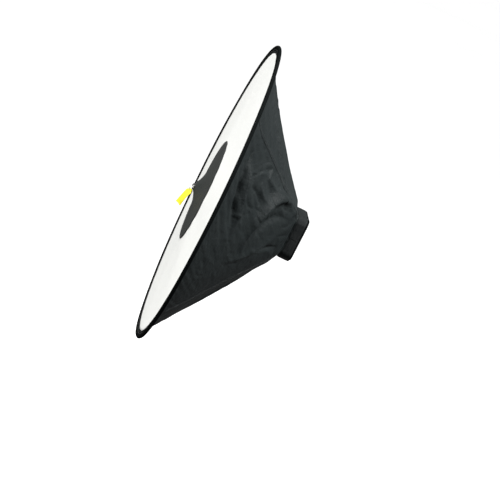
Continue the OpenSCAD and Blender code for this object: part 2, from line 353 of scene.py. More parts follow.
def scattered_creases(seed: int, count: int, span_u: float, span_v: float, lean: float) -> list[Crease]:
    """Draws short creases at random over a cloth.

    Args:
        seed: Which draw to use.
        count: How many creases to draw.
        span_u: The cloth's width, centred on zero.
        span_v: The cloth's length, from zero.
        lean: The direction that most of them follow, in radians from the cloth's width.

    Returns:
        The creases.
    """
    draw = np.random.default_rng(seed)
    across, along = draw.uniform(-0.5, 0.5, count), draw.uniform(0.06, 0.98, count)
    middle = np.stack([across * span_u, along * span_v], axis=-1)
    way = lean + draw.normal(0.0, 0.75, count)
    half = draw.uniform(5, 24, count) * MM
    width = draw.uniform(1.1, 3.0, count) * MM
    depth = draw.normal(0.0, 0.34, count) * width
    bow = draw.normal(0.0, 2.6, count) * MM
    skew = draw.uniform(-0.45, 0.45, count)
    step = np.stack([np.cos(way), np.sin(way)], axis=-1) * half[:, None]
    return [
        Crease(tuple(m - s), tuple(m + s), float(b), float(w), float(d), float(k))
        for m, s, b, w, d, k in zip(middle, step, bow, width, depth, skew)
    ]


def stitch_rows(name: str, rows: list[tuple[Array, Array]], pitch: float, thread: float) -> bpy.types.Object:
    """Lays a row of stitches along each path, each a slim bead that is flat where it lies on the cloth.

    A bead is half an ellipse across, and its height and width follow the square root of a sine along it.

    Args:
        name: The piece's name.
        rows: For each row, its path and the cloth's normals there, in forward axes.
        pitch: The distance from one stitch to the next.
        thread: The thread's radius.

    Returns:
        One object that holds every stitch.
    """
    stations, around = 5, 6
    along = np.linspace(-0.5, 0.5, stations)
    swell = np.sqrt(np.clip(np.cos(along * math.pi), 0.02, 1.0))
    turn = np.linspace(0.0, TURN, around, endpoint=False)
    beads = []
    for path, normals in rows:
        run = np.concatenate([[0.0], np.cumsum(np.linalg.norm(np.diff(path, axis=0), axis=1))])
        at = np.arange(pitch / 2, run[-1] - pitch / 2, pitch)
        centre = np.stack([np.interp(at, run, path[:, k]) for k in range(3)], axis=-1)
        ahead = np.stack([np.interp(at + pitch / 4, run, path[:, k]) for k in range(3)], axis=-1)
        up = unit(np.stack([np.interp(at, run, normals[:, k]) for k in range(3)], axis=-1))
        way = unit(ahead - centre)
        side = unit(np.cross(up, way))
        body = centre[:, None] + way[:, None] * (along * pitch * 0.74)[None, :, None]
        ring_side = (swell[:, None] * np.cos(turn)[None]) * thread * 1.25
        ring_up = (swell[:, None] * np.sin(turn)[None]) * thread
        bead = (
            body[:, :, None]
            + ring_side[None, :, :, None] * side[:, None, None]
            + ring_up[None, :, :, None] * up[:, None, None]
        )
        beads.append(bead)
    beads_all = np.concatenate(beads)
    count = len(beads_all)
    wall = grid_faces(stations, around, True)
    caps = np.array([[0, 5, 4, 3], [0, 3, 2, 1]])
    last = (stations - 1) * around
    ends = np.concatenate([caps, caps[:, ::-1] + last])
    quads = np.concatenate([wall, ends])
    quads = (quads[None] + (np.arange(count) * stations * around)[:, None, None]).reshape(-1, 4)
    points = beads_all.reshape(-1, 3)
    uv = np.tile(
        np.stack(np.meshgrid(along * pitch, turn * thread, indexing="ij"), axis=-1).reshape(-1, 2), (count, 1)
    )
    return make_piece(name, facing(points), quads, uv)


# ---------------------------------------------------------------------------------------------
# Finishes
# ---------------------------------------------------------------------------------------------


class Nodes:
    """A short hand for adding linked nodes to a node tree."""

    def __init__(self, tree: bpy.types.NodeTree) -> None:
        """Keeps the tree that nodes are added to."""
        self.tree = tree

    def add(self, kind: str, values: dict | None = None, **settings: object) -> bpy.types.Node:
        """Adds a node.

        Args:
            kind: The node's type.
            values: For each input, by name or number, a socket to link from or a value to set.
            **settings: Properties of the node itself.

        Returns:
            The new node.
        """
        node = self.tree.nodes.new(kind)
        for key, value in settings.items():
            setattr(node, key, value)
        for key, value in (values or {}).items():
            if isinstance(value, bpy.types.NodeSocket):
                self.tree.links.new(value, node.inputs[key])
            else:
                node.inputs[key].default_value = value
        return node

    def maths(self, operation: str, *values: object) -> bpy.types.NodeSocket:
        """Returns the result of a Math node on up to three sockets or numbers."""
        return self.add("ShaderNodeMath", dict(enumerate(values)), operation=operation).outputs[0]

    def mix(self, share: object, first: object, second: object) -> bpy.types.NodeSocket:
        """Returns a colour mixed between two colours."""
        node = self.add("ShaderNodeMix", data_type="RGBA")
        for key, value in (("Factor", share), ("A", first), ("B", second)):
            kind = "VALUE" if key == "Factor" else "RGBA"
            socket = next(s for s in node.inputs if s.name == key and s.type == kind)
            if isinstance(value, bpy.types.NodeSocket):
                self.tree.links.new(value, socket)
            else:
                socket.default_value = value
        return next(s for s in node.outputs if s.type == "RGBA")

    def scaled(self, vector: object, by: object) -> bpy.types.NodeSocket:
        """Returns a vector multiplied by a number."""
        node = self.add("ShaderNodeVectorMath", {0: vector}, operation="SCALE")
        if isinstance(by, bpy.types.NodeSocket):
            self.tree.links.new(by, node.inputs["Scale"])
        else:
            node.inputs["Scale"].default_value = by
        return node.outputs[0]


class Effects:
    """The patterns that more than one finish uses, each a node group that is built once."""

    def __init__(self) -> None:
        """Builds every group."""
        self.weave = self._weave()
        self.crumple = self._crumple()
        self.ribs = self._ribs()
        self.grain = self._grain()
        self.drift = self._drift()

    @staticmethod
    def _group(name: str, inputs: dict[str, tuple[str, float | None]], outputs: dict[str, str]) -> tuple:
        """Starts a node group.

        Args:
            name: The group's name.
            inputs: For each input, its socket type and default.
            outputs: For each output, its socket type.

        Returns:
            The group, its node adder, its input node and its output node.
        """
        tree = bpy.data.node_groups.new(name, "ShaderNodeTree")
        for key, (kind, value) in inputs.items():
            socket = tree.interface.new_socket(key, in_out="INPUT", socket_type=kind)
            if value is not None:
                socket.default_value = value
        for key, kind in outputs.items():
            tree.interface.new_socket(key, in_out="OUTPUT", socket_type=kind)
        nodes = Nodes(tree)
        return tree, nodes, nodes.add("NodeGroupInput"), nodes.add("NodeGroupOutput")

    def _weave(self) -> bpy.types.NodeTree:
        """Builds plain weave: threads that pass over and under each other, as the product of two sines."""
        tree, n, start, end = self._group(
            "Plain weave",
            {"Vector": ("NodeSocketVector", None), "Pitch": ("NodeSocketFloat", 0.0005)},
            {"Height": "NodeSocketFloat", "Thread": "NodeSocketFloat"},
        )
        wave = n.maths("DIVIDE", math.pi, start.outputs["Pitch"])
        place = n.add("ShaderNodeSeparateXYZ", {0: n.scaled(start.outputs["Vector"], wave)})
        across = n.maths("SINE", place.outputs[0])
        along = n.maths("SINE", place.outputs[1])
        over = n.maths("MULTIPLY", across, along)
        height = n.maths("MULTIPLY_ADD", over, 0.5, 0.5)
        thread = n.maths("ABSOLUTE", over)
        tree.links.new(height, end.inputs["Height"])
        tree.links.new(thread, end.inputs["Thread"])
        return tree

    def _crumple(self) -> bpy.types.NodeTree:
        """Builds crumpled cloth: the sharp edges of crumpled facets over soft rumples."""
        tree, n, start, end = self._group(
            "Crumpled cloth",
            {
                "Vector": ("NodeSocketVector", None),
                "Size": ("NodeSocketFloat", 0.02),
                "Sharpness": ("NodeSocketFloat", 0.5),
            },
            {"Height": "NodeSocketFloat"},
        )
        scale = n.maths("DIVIDE", 1.0, start.outputs["Size"])
        place = n.scaled(start.outputs["Vector"], scale)
        bend = n.add("ShaderNodeTexNoise", {"Vector": place, "Scale": 0.7, "Detail": 2.0})
        shift = n.scaled(bend.outputs["Color"], 0.9)
        bent = n.add("ShaderNodeVectorMath", {0: place, 1: shift}, operation="ADD").outputs[0]
        facets = n.add("ShaderNodeTexVoronoi", {"Vector": bent, "Scale": 1.0}, feature="SMOOTH_F1")
        facets.inputs["Smoothness"].default_value = 0.35
        soft = n.add("ShaderNodeTexNoise", {"Vector": place, "Scale": 1.6, "Detail": 5.0, "Roughness": 0.55})
        ridge = n.maths("ABSOLUTE", n.maths("SUBTRACT", soft.outputs[0], 0.5))
        ridge = n.maths("MULTIPLY", ridge, -1.6)
        total = n.maths("MULTIPLY_ADD", facets.outputs["Distance"], start.outputs["Sharpness"], ridge)
        tree.links.new(total, end.inputs["Height"])
        return tree

    def _ribs(self) -> bpy.types.NodeTree:
        """Builds ribbed tape: round ribs across the tape, each broken by its crossing threads."""
        tree, n, start, end = self._group(
            "Ribbed tape",
            {
                "Vector": ("NodeSocketVector", None),
                "Pitch": ("NodeSocketFloat", 0.0012),
                "Crossing": ("NodeSocketFloat", 0.0006),
            },
            {"Height": "NodeSocketFloat"},
        )
        place = n.add("ShaderNodeSeparateXYZ", {0: start.outputs["Vector"]})
        u = n.maths("MULTIPLY", place.outputs[0], n.maths("DIVIDE", math.pi, start.outputs["Pitch"]))
        v = n.maths("MULTIPLY", place.outputs[1], n.maths("DIVIDE", math.pi, start.outputs["Crossing"]))
        rib = n.maths("ABSOLUTE", n.maths("SINE", u))
        cross = n.maths("MULTIPLY", n.maths("SINE", v), n.maths("COSINE", u))
        total = n.maths("MULTIPLY_ADD", cross, 0.35, rib)
        tree.links.new(total, end.inputs["Height"])
        return tree

    def _grain(self) -> bpy.types.NodeTree:
        """Builds the fine pebble of a mould, with sparse scuffs."""
        tree, n, start, end = self._group(
            "Moulded grain",
            {"Vector": ("NodeSocketVector", None), "Size": ("NodeSocketFloat", 0.0006)},
            {"Height": "NodeSocketFloat", "Scuff": "NodeSocketFloat"},
        )
        place = n.scaled(start.outputs["Vector"], n.maths("DIVIDE", 1.0, start.outputs["Size"]))
        pebble = n.add("ShaderNodeTexVoronoi", {"Vector": place, "Scale": 1.0})
        rough = n.add("ShaderNodeTexNoise", {"Vector": place, "Scale": 0.06, "Detail": 6.0, "Roughness": 0.7})
        scuff = n.add("ShaderNodeMapRange", {"Value": rough.outputs[0], "From Min": 0.56, "From Max": 0.72})
        tree.links.new(pebble.outputs["Distance"], end.inputs["Height"])
        tree.links.new(scuff.outputs[0], end.inputs["Scuff"])
        return tree

    def _drift(self) -> bpy.types.NodeTree:
        """Builds a slow drift between two tones, as handling and dust leave on a surface."""
        tree, n, start, end = self._group(
            "Tone drift",
            {
                "Vector": ("NodeSocketVector", None),
                "Size": ("NodeSocketFloat", 0.05),
                "Tone": ("NodeSocketColor", None),
                "Other tone": ("NodeSocketColor", None),
            },
            {"Color": "NodeSocketColor", "Mask": "NodeSocketFloat"},
        )
        place = n.scaled(start.outputs["Vector"], n.maths("DIVIDE", 1.0, start.outputs["Size"]))
        cloud = n.add("ShaderNodeTexNoise", {"Vector": place, "Scale": 1.0, "Detail": 4.0, "Roughness": 0.6})
        mask = n.add("ShaderNodeMapRange", {"Value": cloud.outputs[0], "From Min": 0.32, "From Max": 0.68})
        colour = n.mix(mask.outputs[0], start.outputs["Tone"], start.outputs["Other tone"])
        tree.links.new(colour, end.inputs["Color"])
        tree.links.new(mask.outputs[0], end.inputs["Mask"])
        return tree


Colour = tuple[float, float, float]


def opaque(colour: Colour) -> tuple[float, float, float, float]:
    """Returns a colour with full alpha."""
    return (*colour, 1.0)


@dataclass(frozen=True)
class Finish:
    """What every finish has: a name, two tones, a gloss and the place that its pattern reads."""

    name: str
    tone: Colour
    other_tone: Colour
    roughness: float = 0.6
    coord: Coord = Coord.CLOTH
    drift_size: float = 0.05
    specular: float = 0.5

    def start(self, effects: Effects) -> tuple:
        """Starts the material: its shader, its place and its drifting tone.

        Args:
            effects: The shared groups.

        Returns:
            The material, its node adder, its shader, the pattern's place, and the tone drift's node.
        """
        material = bpy.data.materials.new(self.name)
        material.use_nodes = True
        material.diffuse_color = opaque(self.tone)
        nodes = Nodes(material.node_tree)
        shader = material.node_tree.nodes["Principled BSDF"]
        place = nodes.add("ShaderNodeTexCoord").outputs[self.coord.value]
        drift = self.effect(nodes, effects.drift, place, {
            "Size": self.drift_size, "Tone": opaque(self.tone), "Other tone": opaque(self.other_tone),
        })
        shader.inputs["Roughness"].default_value = self.roughness
        shader.inputs["Specular IOR Level"].default_value = self.specular
        return material, nodes, shader, place, drift

    @staticmethod
    def effect(nodes: Nodes, group: bpy.types.NodeTree, place: object, values: dict) -> bpy.types.Node:
        """Places one of the shared groups in a material, with its own values."""
        node = nodes.add("ShaderNodeGroup", node_tree=group)
        nodes.tree.links.new(place, node.inputs["Vector"])
        for key, value in values.items():
            node.inputs[key].default_value = value
        return node

    @staticmethod
    def relief(nodes: Nodes, shader: bpy.types.Node, layers: list[tuple[object, float]]) -> None:
        """Stacks bumps, given as a height and its depth in metres, into the shader's normal."""
        normal = None
        for height, depth in layers:
            values = {"Height": height, "Distance": depth, "Strength": 1.0}
            if normal is not None:
                values["Normal"] = normal
            normal = nodes.add("ShaderNodeBump", values).outputs["Normal"]
        nodes.tree.links.new(normal, shader.inputs["Normal"])

    @staticmethod
    def vary(nodes: Nodes, shader: bpy.types.Node, mask: object, low: float, high: float) -> None:
        """Lets the roughness run from low to high with a mask."""
        rough = nodes.add("ShaderNodeMapRange", {"Value": mask, "To Min": low, "To Max": high})
        nodes.tree.links.new(rough.outputs[0], shader.inputs["Roughness"])


@dataclass(frozen=True)
class ClothFinish(Finish):
    """Woven cloth with a thread pattern, painted shade between its threads, crumples and a soft sheen."""

    pitch: float = 0.00045
    weave_depth: float = 0.00008
    crumple_size: float = 0.018
    crumple_depth: float = 0.0008
    sharpness: float = 0.5
    sheen: float = 0.2
    metal: float = 0.0
    coat: float = 0.0

    def build(self, effects: Effects) -> bpy.types.Material:
        """Builds the material.

        Args:
            effects: The shared groups.

        Returns:
            The material.
        """
        material, nodes, shader, place, drift = self.start(effects)
        weave = self.effect(nodes, effects.weave, place, {"Pitch": self.pitch})
        folds = {"Size": self.crumple_size, "Sharpness": self.sharpness}
        crumple = self.effect(nodes, effects.crumple, place, folds)
        # Painted shade: the base colour darkens along the gaps between the threads.
        dark = opaque(tuple(0.72 * c for c in self.tone))
        reach = {"Value": weave.outputs["Thread"], "To Min": 0.35, "To Max": 0.0}
        gap_shade = nodes.add("ShaderNodeMapRange", reach)
        colour = nodes.mix(gap_shade.outputs[0], drift.outputs["Color"], dark)
        nodes.tree.links.new(colour, shader.inputs["Base Color"])
        self.vary(nodes, shader, drift.outputs["Mask"], self.roughness - 0.06, self.roughness + 0.08)
        self.relief(nodes, shader, [
            (crumple.outputs["Height"], self.crumple_depth), (weave.outputs["Height"], self.weave_depth),
        ])
        shader.inputs["Metallic"].default_value = self.metal
        shader.inputs["Sheen Weight"].default_value = self.sheen
        shader.inputs["Sheen Roughness"].default_value = 0.4
        shader.inputs["Coat Weight"].default_value = self.coat
        shader.inputs["Coat Roughness"].default_value = 0.35
        return material


@dataclass(frozen=True)
class TapeFinish(Finish):
    """Ribbed tape or webbing, with painted shade in the grooves between its ribs."""

    pitch: float = 0.0011
    crossing: float = 0.0007
    rib_depth: float = 0.00022
    sheen: float = 0.15

    def build(self, effects: Effects) -> bpy.types.Material:
        """Builds the material.

        Args:
            effects: The shared groups.

        Returns:
            The material.
        """
        material, nodes, shader, place, drift = self.start(effects)
        ribs = self.effect(nodes, effects.ribs, place, {"Pitch": self.pitch, "Crossing": self.crossing})
        # Painted shade: the base colour darkens in the grooves between the ribs.
        reach = {"Value": ribs.outputs["Height"], "To Min": 0.5, "To Max": 0.0}
        gap_shade = nodes.add("ShaderNodeMapRange", reach)
        dark = opaque(tuple(0.5 * c for c in self.tone))
        colour = nodes.mix(gap_shade.outputs[0], drift.outputs["Color"], dark)
        nodes.tree.links.new(colour, shader.inputs["Base Color"])
        self.vary(nodes, shader, drift.outputs["Mask"], self.roughness - 0.05, self.roughness + 0.07)
        self.relief(nodes, shader, [(ribs.outputs["Height"], self.rib_depth)])
        shader.inputs["Sheen Weight"].default_value = self.sheen
        return material


@dataclass(frozen=True)
class MouldedFinish(Finish):
    """Moulded plastic, rubber or a turned metal part, with a fine grain and scuffs."""

    grain: float = 0.0005
    grain_depth: float = 0.00003
    metal: float = 0.0
    scuff_tone: Colour = (0.12, 0.12, 0.12)

    def build(self, effects: Effects) -> bpy.types.Material:
        """Builds the material.

        Args:
            effects: The shared groups.

        Returns:
            The material.
        """
        material, nodes, shader, place, drift = self.start(effects)
        grain = self.effect(nodes, effects.grain, place, {"Size": self.grain})
        share = nodes.maths("MULTIPLY", grain.outputs["Scuff"], 0.5)
        colour = nodes.mix(share, drift.outputs["Color"], opaque(self.scuff_tone))
        nodes.tree.links.new(colour, shader.inputs["Base Color"])
        self.vary(nodes, shader, grain.outputs["Scuff"], self.roughness, min(self.roughness + 0.2, 1.0))
        self.relief(nodes, shader, [(grain.outputs["Height"], self.grain_depth)])
        shader.inputs["Metallic"].default_value = self.metal
        return material


NYLON = ClothFinish(
    "coated_nylon", (0.0125, 0.0155, 0.0158), (0.018, 0.0215, 0.0218), roughness=0.45, sheen=0.0,
    crumple_size=0.016, crumple_depth=0.0013, sharpness=0.6, specular=0.06,
)
SILVER = ClothFinish(
    "silver_cloth", (0.62, 0.63, 0.65), (0.72, 0.73, 0.75), roughness=0.34, sheen=0.0, metal=0.85,
    crumple_size=0.014, crumple_depth=0.0007, sharpness=0.7,
)
DIFFUSER = ClothFinish(
    "white_diffuser", (0.84, 0.845, 0.82), (0.81, 0.815, 0.785), roughness=0.8, sheen=0.1, specular=0.2,
    crumple_size=0.05, crumple_depth=0.0005, sharpness=0.25, pitch=0.0006, drift_size=0.11,
)
DISC = ClothFinish(
    "charcoal_taffeta", (0.031, 0.034, 0.032), (0.042, 0.045, 0.042), roughness=0.6, sheen=0.02,
    crumple_size=0.03, crumple_depth=0.0004, sharpness=0.35, specular=0.06,
)
SLEEVE = ClothFinish(
    "neck_knit", (0.010, 0.011, 0.0115), (0.015, 0.016, 0.0165), roughness=0.75, sheen=0.0,
    specular=0.08, pitch=0.0009, weave_depth=0.0002, crumple_size=0.012, crumple_depth=0.0006,
)
RIBBON = ClothFinish(
    "yellow_ribbon", (0.94, 0.84, 0.03), (0.97, 0.88, 0.06), roughness=0.5, sheen=0.1,
    specular=0.25, pitch=0.0005, crumple_size=0.008, crumple_depth=0.0002, drift_size=0.012,
)
BINDING = TapeFinish(
    "binding_tape", (0.003, 0.0038, 0.0038), (0.005, 0.006, 0.006), roughness=0.9, sheen=0.0, specular=0.02,
)
SEAM_TAPE = TapeFinish("seam_tape", (0.50, 0.51, 0.53), (0.58, 0.59, 0.61), roughness=0.6)
WEBBING = TapeFinish(
    "strap_webbing", (0.006, 0.0078, 0.0080), (0.010, 0.0122, 0.0124), roughness=0.6, pitch=0.0016,
    crossing=0.0012, rib_depth=0.0003, sheen=0.0, specular=0.12,
)
BLACK_THREAD = TapeFinish(
    "black_thread", (0.016, 0.017, 0.017), (0.024, 0.025, 0.025), roughness=0.55,
    specular=0.2, pitch=0.0005, crossing=0.0004, rib_depth=0.00006, drift_size=0.02,
)
YELLOW_THREAD = TapeFinish(
    "yellow_thread", (0.85, 0.70, 0.02), (0.90, 0.76, 0.04), roughness=0.5, pitch=0.0005, crossing=0.0004,
    rib_depth=0.00006, drift_size=0.01,
)
STRING = TapeFinish(
    "pale_string", (0.80, 0.80, 0.74), (0.86, 0.86, 0.80), roughness=0.45, pitch=0.0009, crossing=0.0008,
    rib_depth=0.00015, drift_size=0.01,
)
PLASTIC = MouldedFinish(
    "moulded_plastic", (0.016, 0.016, 0.017), (0.024, 0.024, 0.025), roughness=0.5, coord=Coord.SOLID,
    drift_size=0.02,
)
RUBBER = MouldedFinish(
    "grip_rubber", (0.03, 0.03, 0.031), (0.042, 0.042, 0.043), roughness=0.75, coord=Coord.SOLID,
    grain=0.0008, drift_size=0.02,
)
SPRING_STEEL = MouldedFinish(
    "spring_steel", (0.50, 0.50, 0.51), (0.58, 0.58, 0.59), roughness=0.32, coord=Coord.SOLID, metal=1.0,
    scuff_tone=(0.32, 0.31, 0.30), grain_depth=0.00001,
)
PIN_STEEL = MouldedFinish(
    "pin_steel", (0.55, 0.55, 0.56), (0.62, 0.62, 0.63), roughness=0.28, coord=Coord.SOLID, metal=1.0,
    scuff_tone=(0.40, 0.40, 0.40), grain_depth=0.00001,
)
MAGNET = MouldedFinish(
    "magnet_plate", (0.66, 0.66, 0.68), (0.72, 0.72, 0.74), roughness=0.18, coord=Coord.SOLID, metal=1.0,
    scuff_tone=(0.50, 0.50, 0.50), grain_depth=0.000005,
)
BRASS = MouldedFinish(
    "ferrule_brass", (0.62, 0.45, 0.18), (0.68, 0.50, 0.22), roughness=0.3, coord=Coord.SOLID, metal=1.0,
    scuff_tone=(0.45, 0.32, 0.14), grain_depth=0.00001,
)
FIBREGLASS = MouldedFinish(
    "fibreglass_rod", (0.66, 0.63, 0.50), (0.72, 0.69, 0.57), roughness=0.3, coord=Coord.SOLID, grain=0.0012,
    scuff_tone=(0.50, 0.47, 0.36),
)
FLOOR = MouldedFinish(
    "studio_floor", (0.86, 0.86, 0.86), (0.88, 0.88, 0.88), roughness=0.9, coord=Coord.SOLID, grain=0.02,
    grain_depth=0.0002, scuff_tone=(0.84, 0.84, 0.84), drift_size=1.5,
)


class Wardrobe:
    """Builds each finish once and puts it on pieces."""

    def __init__(self) -> None:
        """Builds the shared effects."""
        self.effects = Effects()
        self.made: dict[str, bpy.types.Material] = {}

    def dress(self, finish: Finish, *pieces: bpy.types.Object) -> None:
        """Puts a finish on pieces, in place of what they had.

        Args:
            finish: The finish.
            *pieces: New pieces or nodes of the frame.
        """
        if finish.name not in self.made:
            self.made[finish.name] = finish.build(self.effects)
        for piece in pieces:
            if not piece.data.materials:
                piece.data.materials.append(self.made[finish.name])
            for entry in piece.material_slots:
                entry.material = self.made[finish.name]

    def dress_nodes(self, finish: Finish, *names: str) -> None:
        """Puts a finish on nodes of the frame that stay as they are."""
        self.dress(finish, *(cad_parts[name] for name in names))
        LOG.info("%s on %s", finish.name, ", ".join(names))


# ---------------------------------------------------------------------------------------------
# Sizes and sub-assemblies
# ---------------------------------------------------------------------------------------------


@dataclass(frozen=True)
class Sizes:
    """The softbox's main sizes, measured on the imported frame."""

    rim_radius: float
    rim_depth: float
    roll_radius: float
    binding_in: float
    neck_length: float
    neck_half_w: float
    neck_half_h: float
    disc_radius: float
    disc_top: float
    hub_radius: float
    strap_low: float
    strap_high: float
    eye: float
    corner: float = 10 * MM
    tent_rise: float = 5.2 * MM

    @classmethod
    def measured(cls) -> "Sizes":
        """Reads the sizes off the frame's nodes."""
        rim_low, rim_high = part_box("rim_binding")
        strap_low, strap_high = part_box("cinch_strap")
        disc_low, disc_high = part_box("centre_disc")
        loop_low, loop_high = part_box("tab_loop")
        cap_low, cap_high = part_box("hub_cap")
        rim_radius = (rim_high[0] - rim_low[0]) / 2
        return cls(
            rim_radius=rim_radius,
            rim_depth=-(rim_low[1] + rim_high[1]) / 2,
            roll_radius=(rim_high[1] - rim_low[1]) / 2,
            binding_in=rim_radius - 12 * MM,
            neck_length=-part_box("gore_top")[1][1],
            neck_half_w=(strap_high[0] - strap_low[0]) / 2,
            neck_half_h=(strap_high[2] - strap_low[2]) / 2,
            disc_radius=(disc_high[0] - disc_low[0]) / 2,
            disc_top=-disc_low[1],
            hub_radius=(cap_high[0] - cap_low[0]) / 2,
            strap_low=-strap_high[1],
            strap_high=-strap_low[1],
            eye=-loop_high[1] + 0.6 * MM,
        )

    def tent(self, radius: Array) -> Array:
        """Returns the height of the taut front cloth over the rim's plane.

        A membrane that is held at its rim and pushed out by a small hub rises as the logarithm of the radius.
        """
        return self.tent_rise * np.log(self.binding_in / np.maximum(radius, self.hub_radius * 1.03))


@dataclass
class Assembly:
    """What every sub-assembly shares: the sizes, the finishes and the body that it rides on."""

    sizes: Sizes
    wardrobe: Wardrobe
    body: str = "dish"

    def place(self, piece: bpy.types.Object, finish: Finish, *nodes: str) -> bpy.types.Object:
        """Dresses a piece, rides it on this sub-assembly's body, and lets it stand for nodes of the frame.

        Args:
            piece: The new piece.
            finish: Its finish.
            *nodes: The nodes that it replaces, if any.

        Returns:
            The piece.
        """
        self.wardrobe.dress(finish, piece)
        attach(piece, self.body)
        if nodes:
            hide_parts(*nodes)
        LOG.info("%s: %d faces, %s", piece.name, len(piece.data.polygons), finish.name)
        return piece


@dataclass
class Rim(Assembly):
    """The sprung rim: a wire hoop with its ferrule, in a rolled and folded binding."""

    segments: int = 720
    leaf: float = 1.2 * MM

    def profile(self) -> Array:
        """Draws the binding's section, from its inner edge over the front, round the roll and back.

        The half thickness is that of the folded leaves, and swells into the roll over the wire.

        Returns:
            Points by two: distance in from the rim's outer edge as a negative radius, and height.
        """
        width = self.sizes.rim_radius - self.sizes.binding_in
        roll = self.sizes.roll_radius
        flat = np.linspace(0.6 * MM, width - 1.75 * roll, 7)
        swell = self.leaf + (roll * 0.92 - self.leaf) * smooth(flat, width * 0.42, width - 1.7 * roll)
        arc = np.linspace(math.radians(118), math.radians(-118), 15)
        round_x = width - roll + roll * np.cos(arc)
        round_y = roll * np.sin(arc)
        x = np.concatenate([[0.0], flat, round_x, flat[::-1]])
        y = np.concatenate([[0.0], swell, round_y, -swell[::-1]])
        return np.stack([x - width, y], axis=-1)[::-1]

    def build(self) -> None:
        """Builds the binding and its stitching, and dresses the hoop inside it."""
        profile = self.profile()
        angle = np.linspace(0.0, TURN, self.segments, endpoint=False)
        outward = polar(1.0, angle, 0.0)
        axis = np.broadcast_to([0.0, 0.0, 1.0], outward.shape)
        path = outward * self.sizes.rim_radius + np.array([0.0, 0.0, self.sizes.rim_depth])
        inner_share = smooth(-profile[:, 0], 4 * MM, 12 * MM)
        pucker = ripples(angle, 11, 60, 210, 26)[:, None] * inner_share[None]
        wander = ripples(angle, 12, 9, 40, 12)[:, None] * inner_share[None]
        waver = ripples(angle, 13, 2, 9, 5)[:, None] * np.ones_like(inner_share)[None]
        lift = np.stack([wander * 0.35 * MM, pucker * 0.16 * MM + waver * 0.12 * MM], axis=-1)
        binding = sweep_ring("binding_tape_rolled", path, outward, axis, profile, lift)
        self.place(binding, BINDING, "rim_binding")
        self.wardrobe.dress_nodes(SPRING_STEEL, "rim_hoop")
        self.wardrobe.dress_nodes(BRASS, "hoop_ferrule")
        self.stitch()

    def stitch(self) -> None:
        """Lays two rows of stitches on the front and two on the back of the binding."""
        angle = np.linspace(0.0, TURN, 1441)
        rows = []
        for inset in (2.2 * MM, 5.0 * MM):
            for side in (1.0, -1.0):
                radius = self.sizes.binding_in + inset
                path = polar(radius, angle, self.sizes.rim_depth + side * (self.leaf + 0.12 * MM))
                normals = np.broadcast_to([0.0, 0.0, side], path.shape)
                rows.append((path, normals))
        self.place(stitch_rows("binding_stitches", rows, 4.2 * MM, 0.24 * MM), BLACK_THREAD)


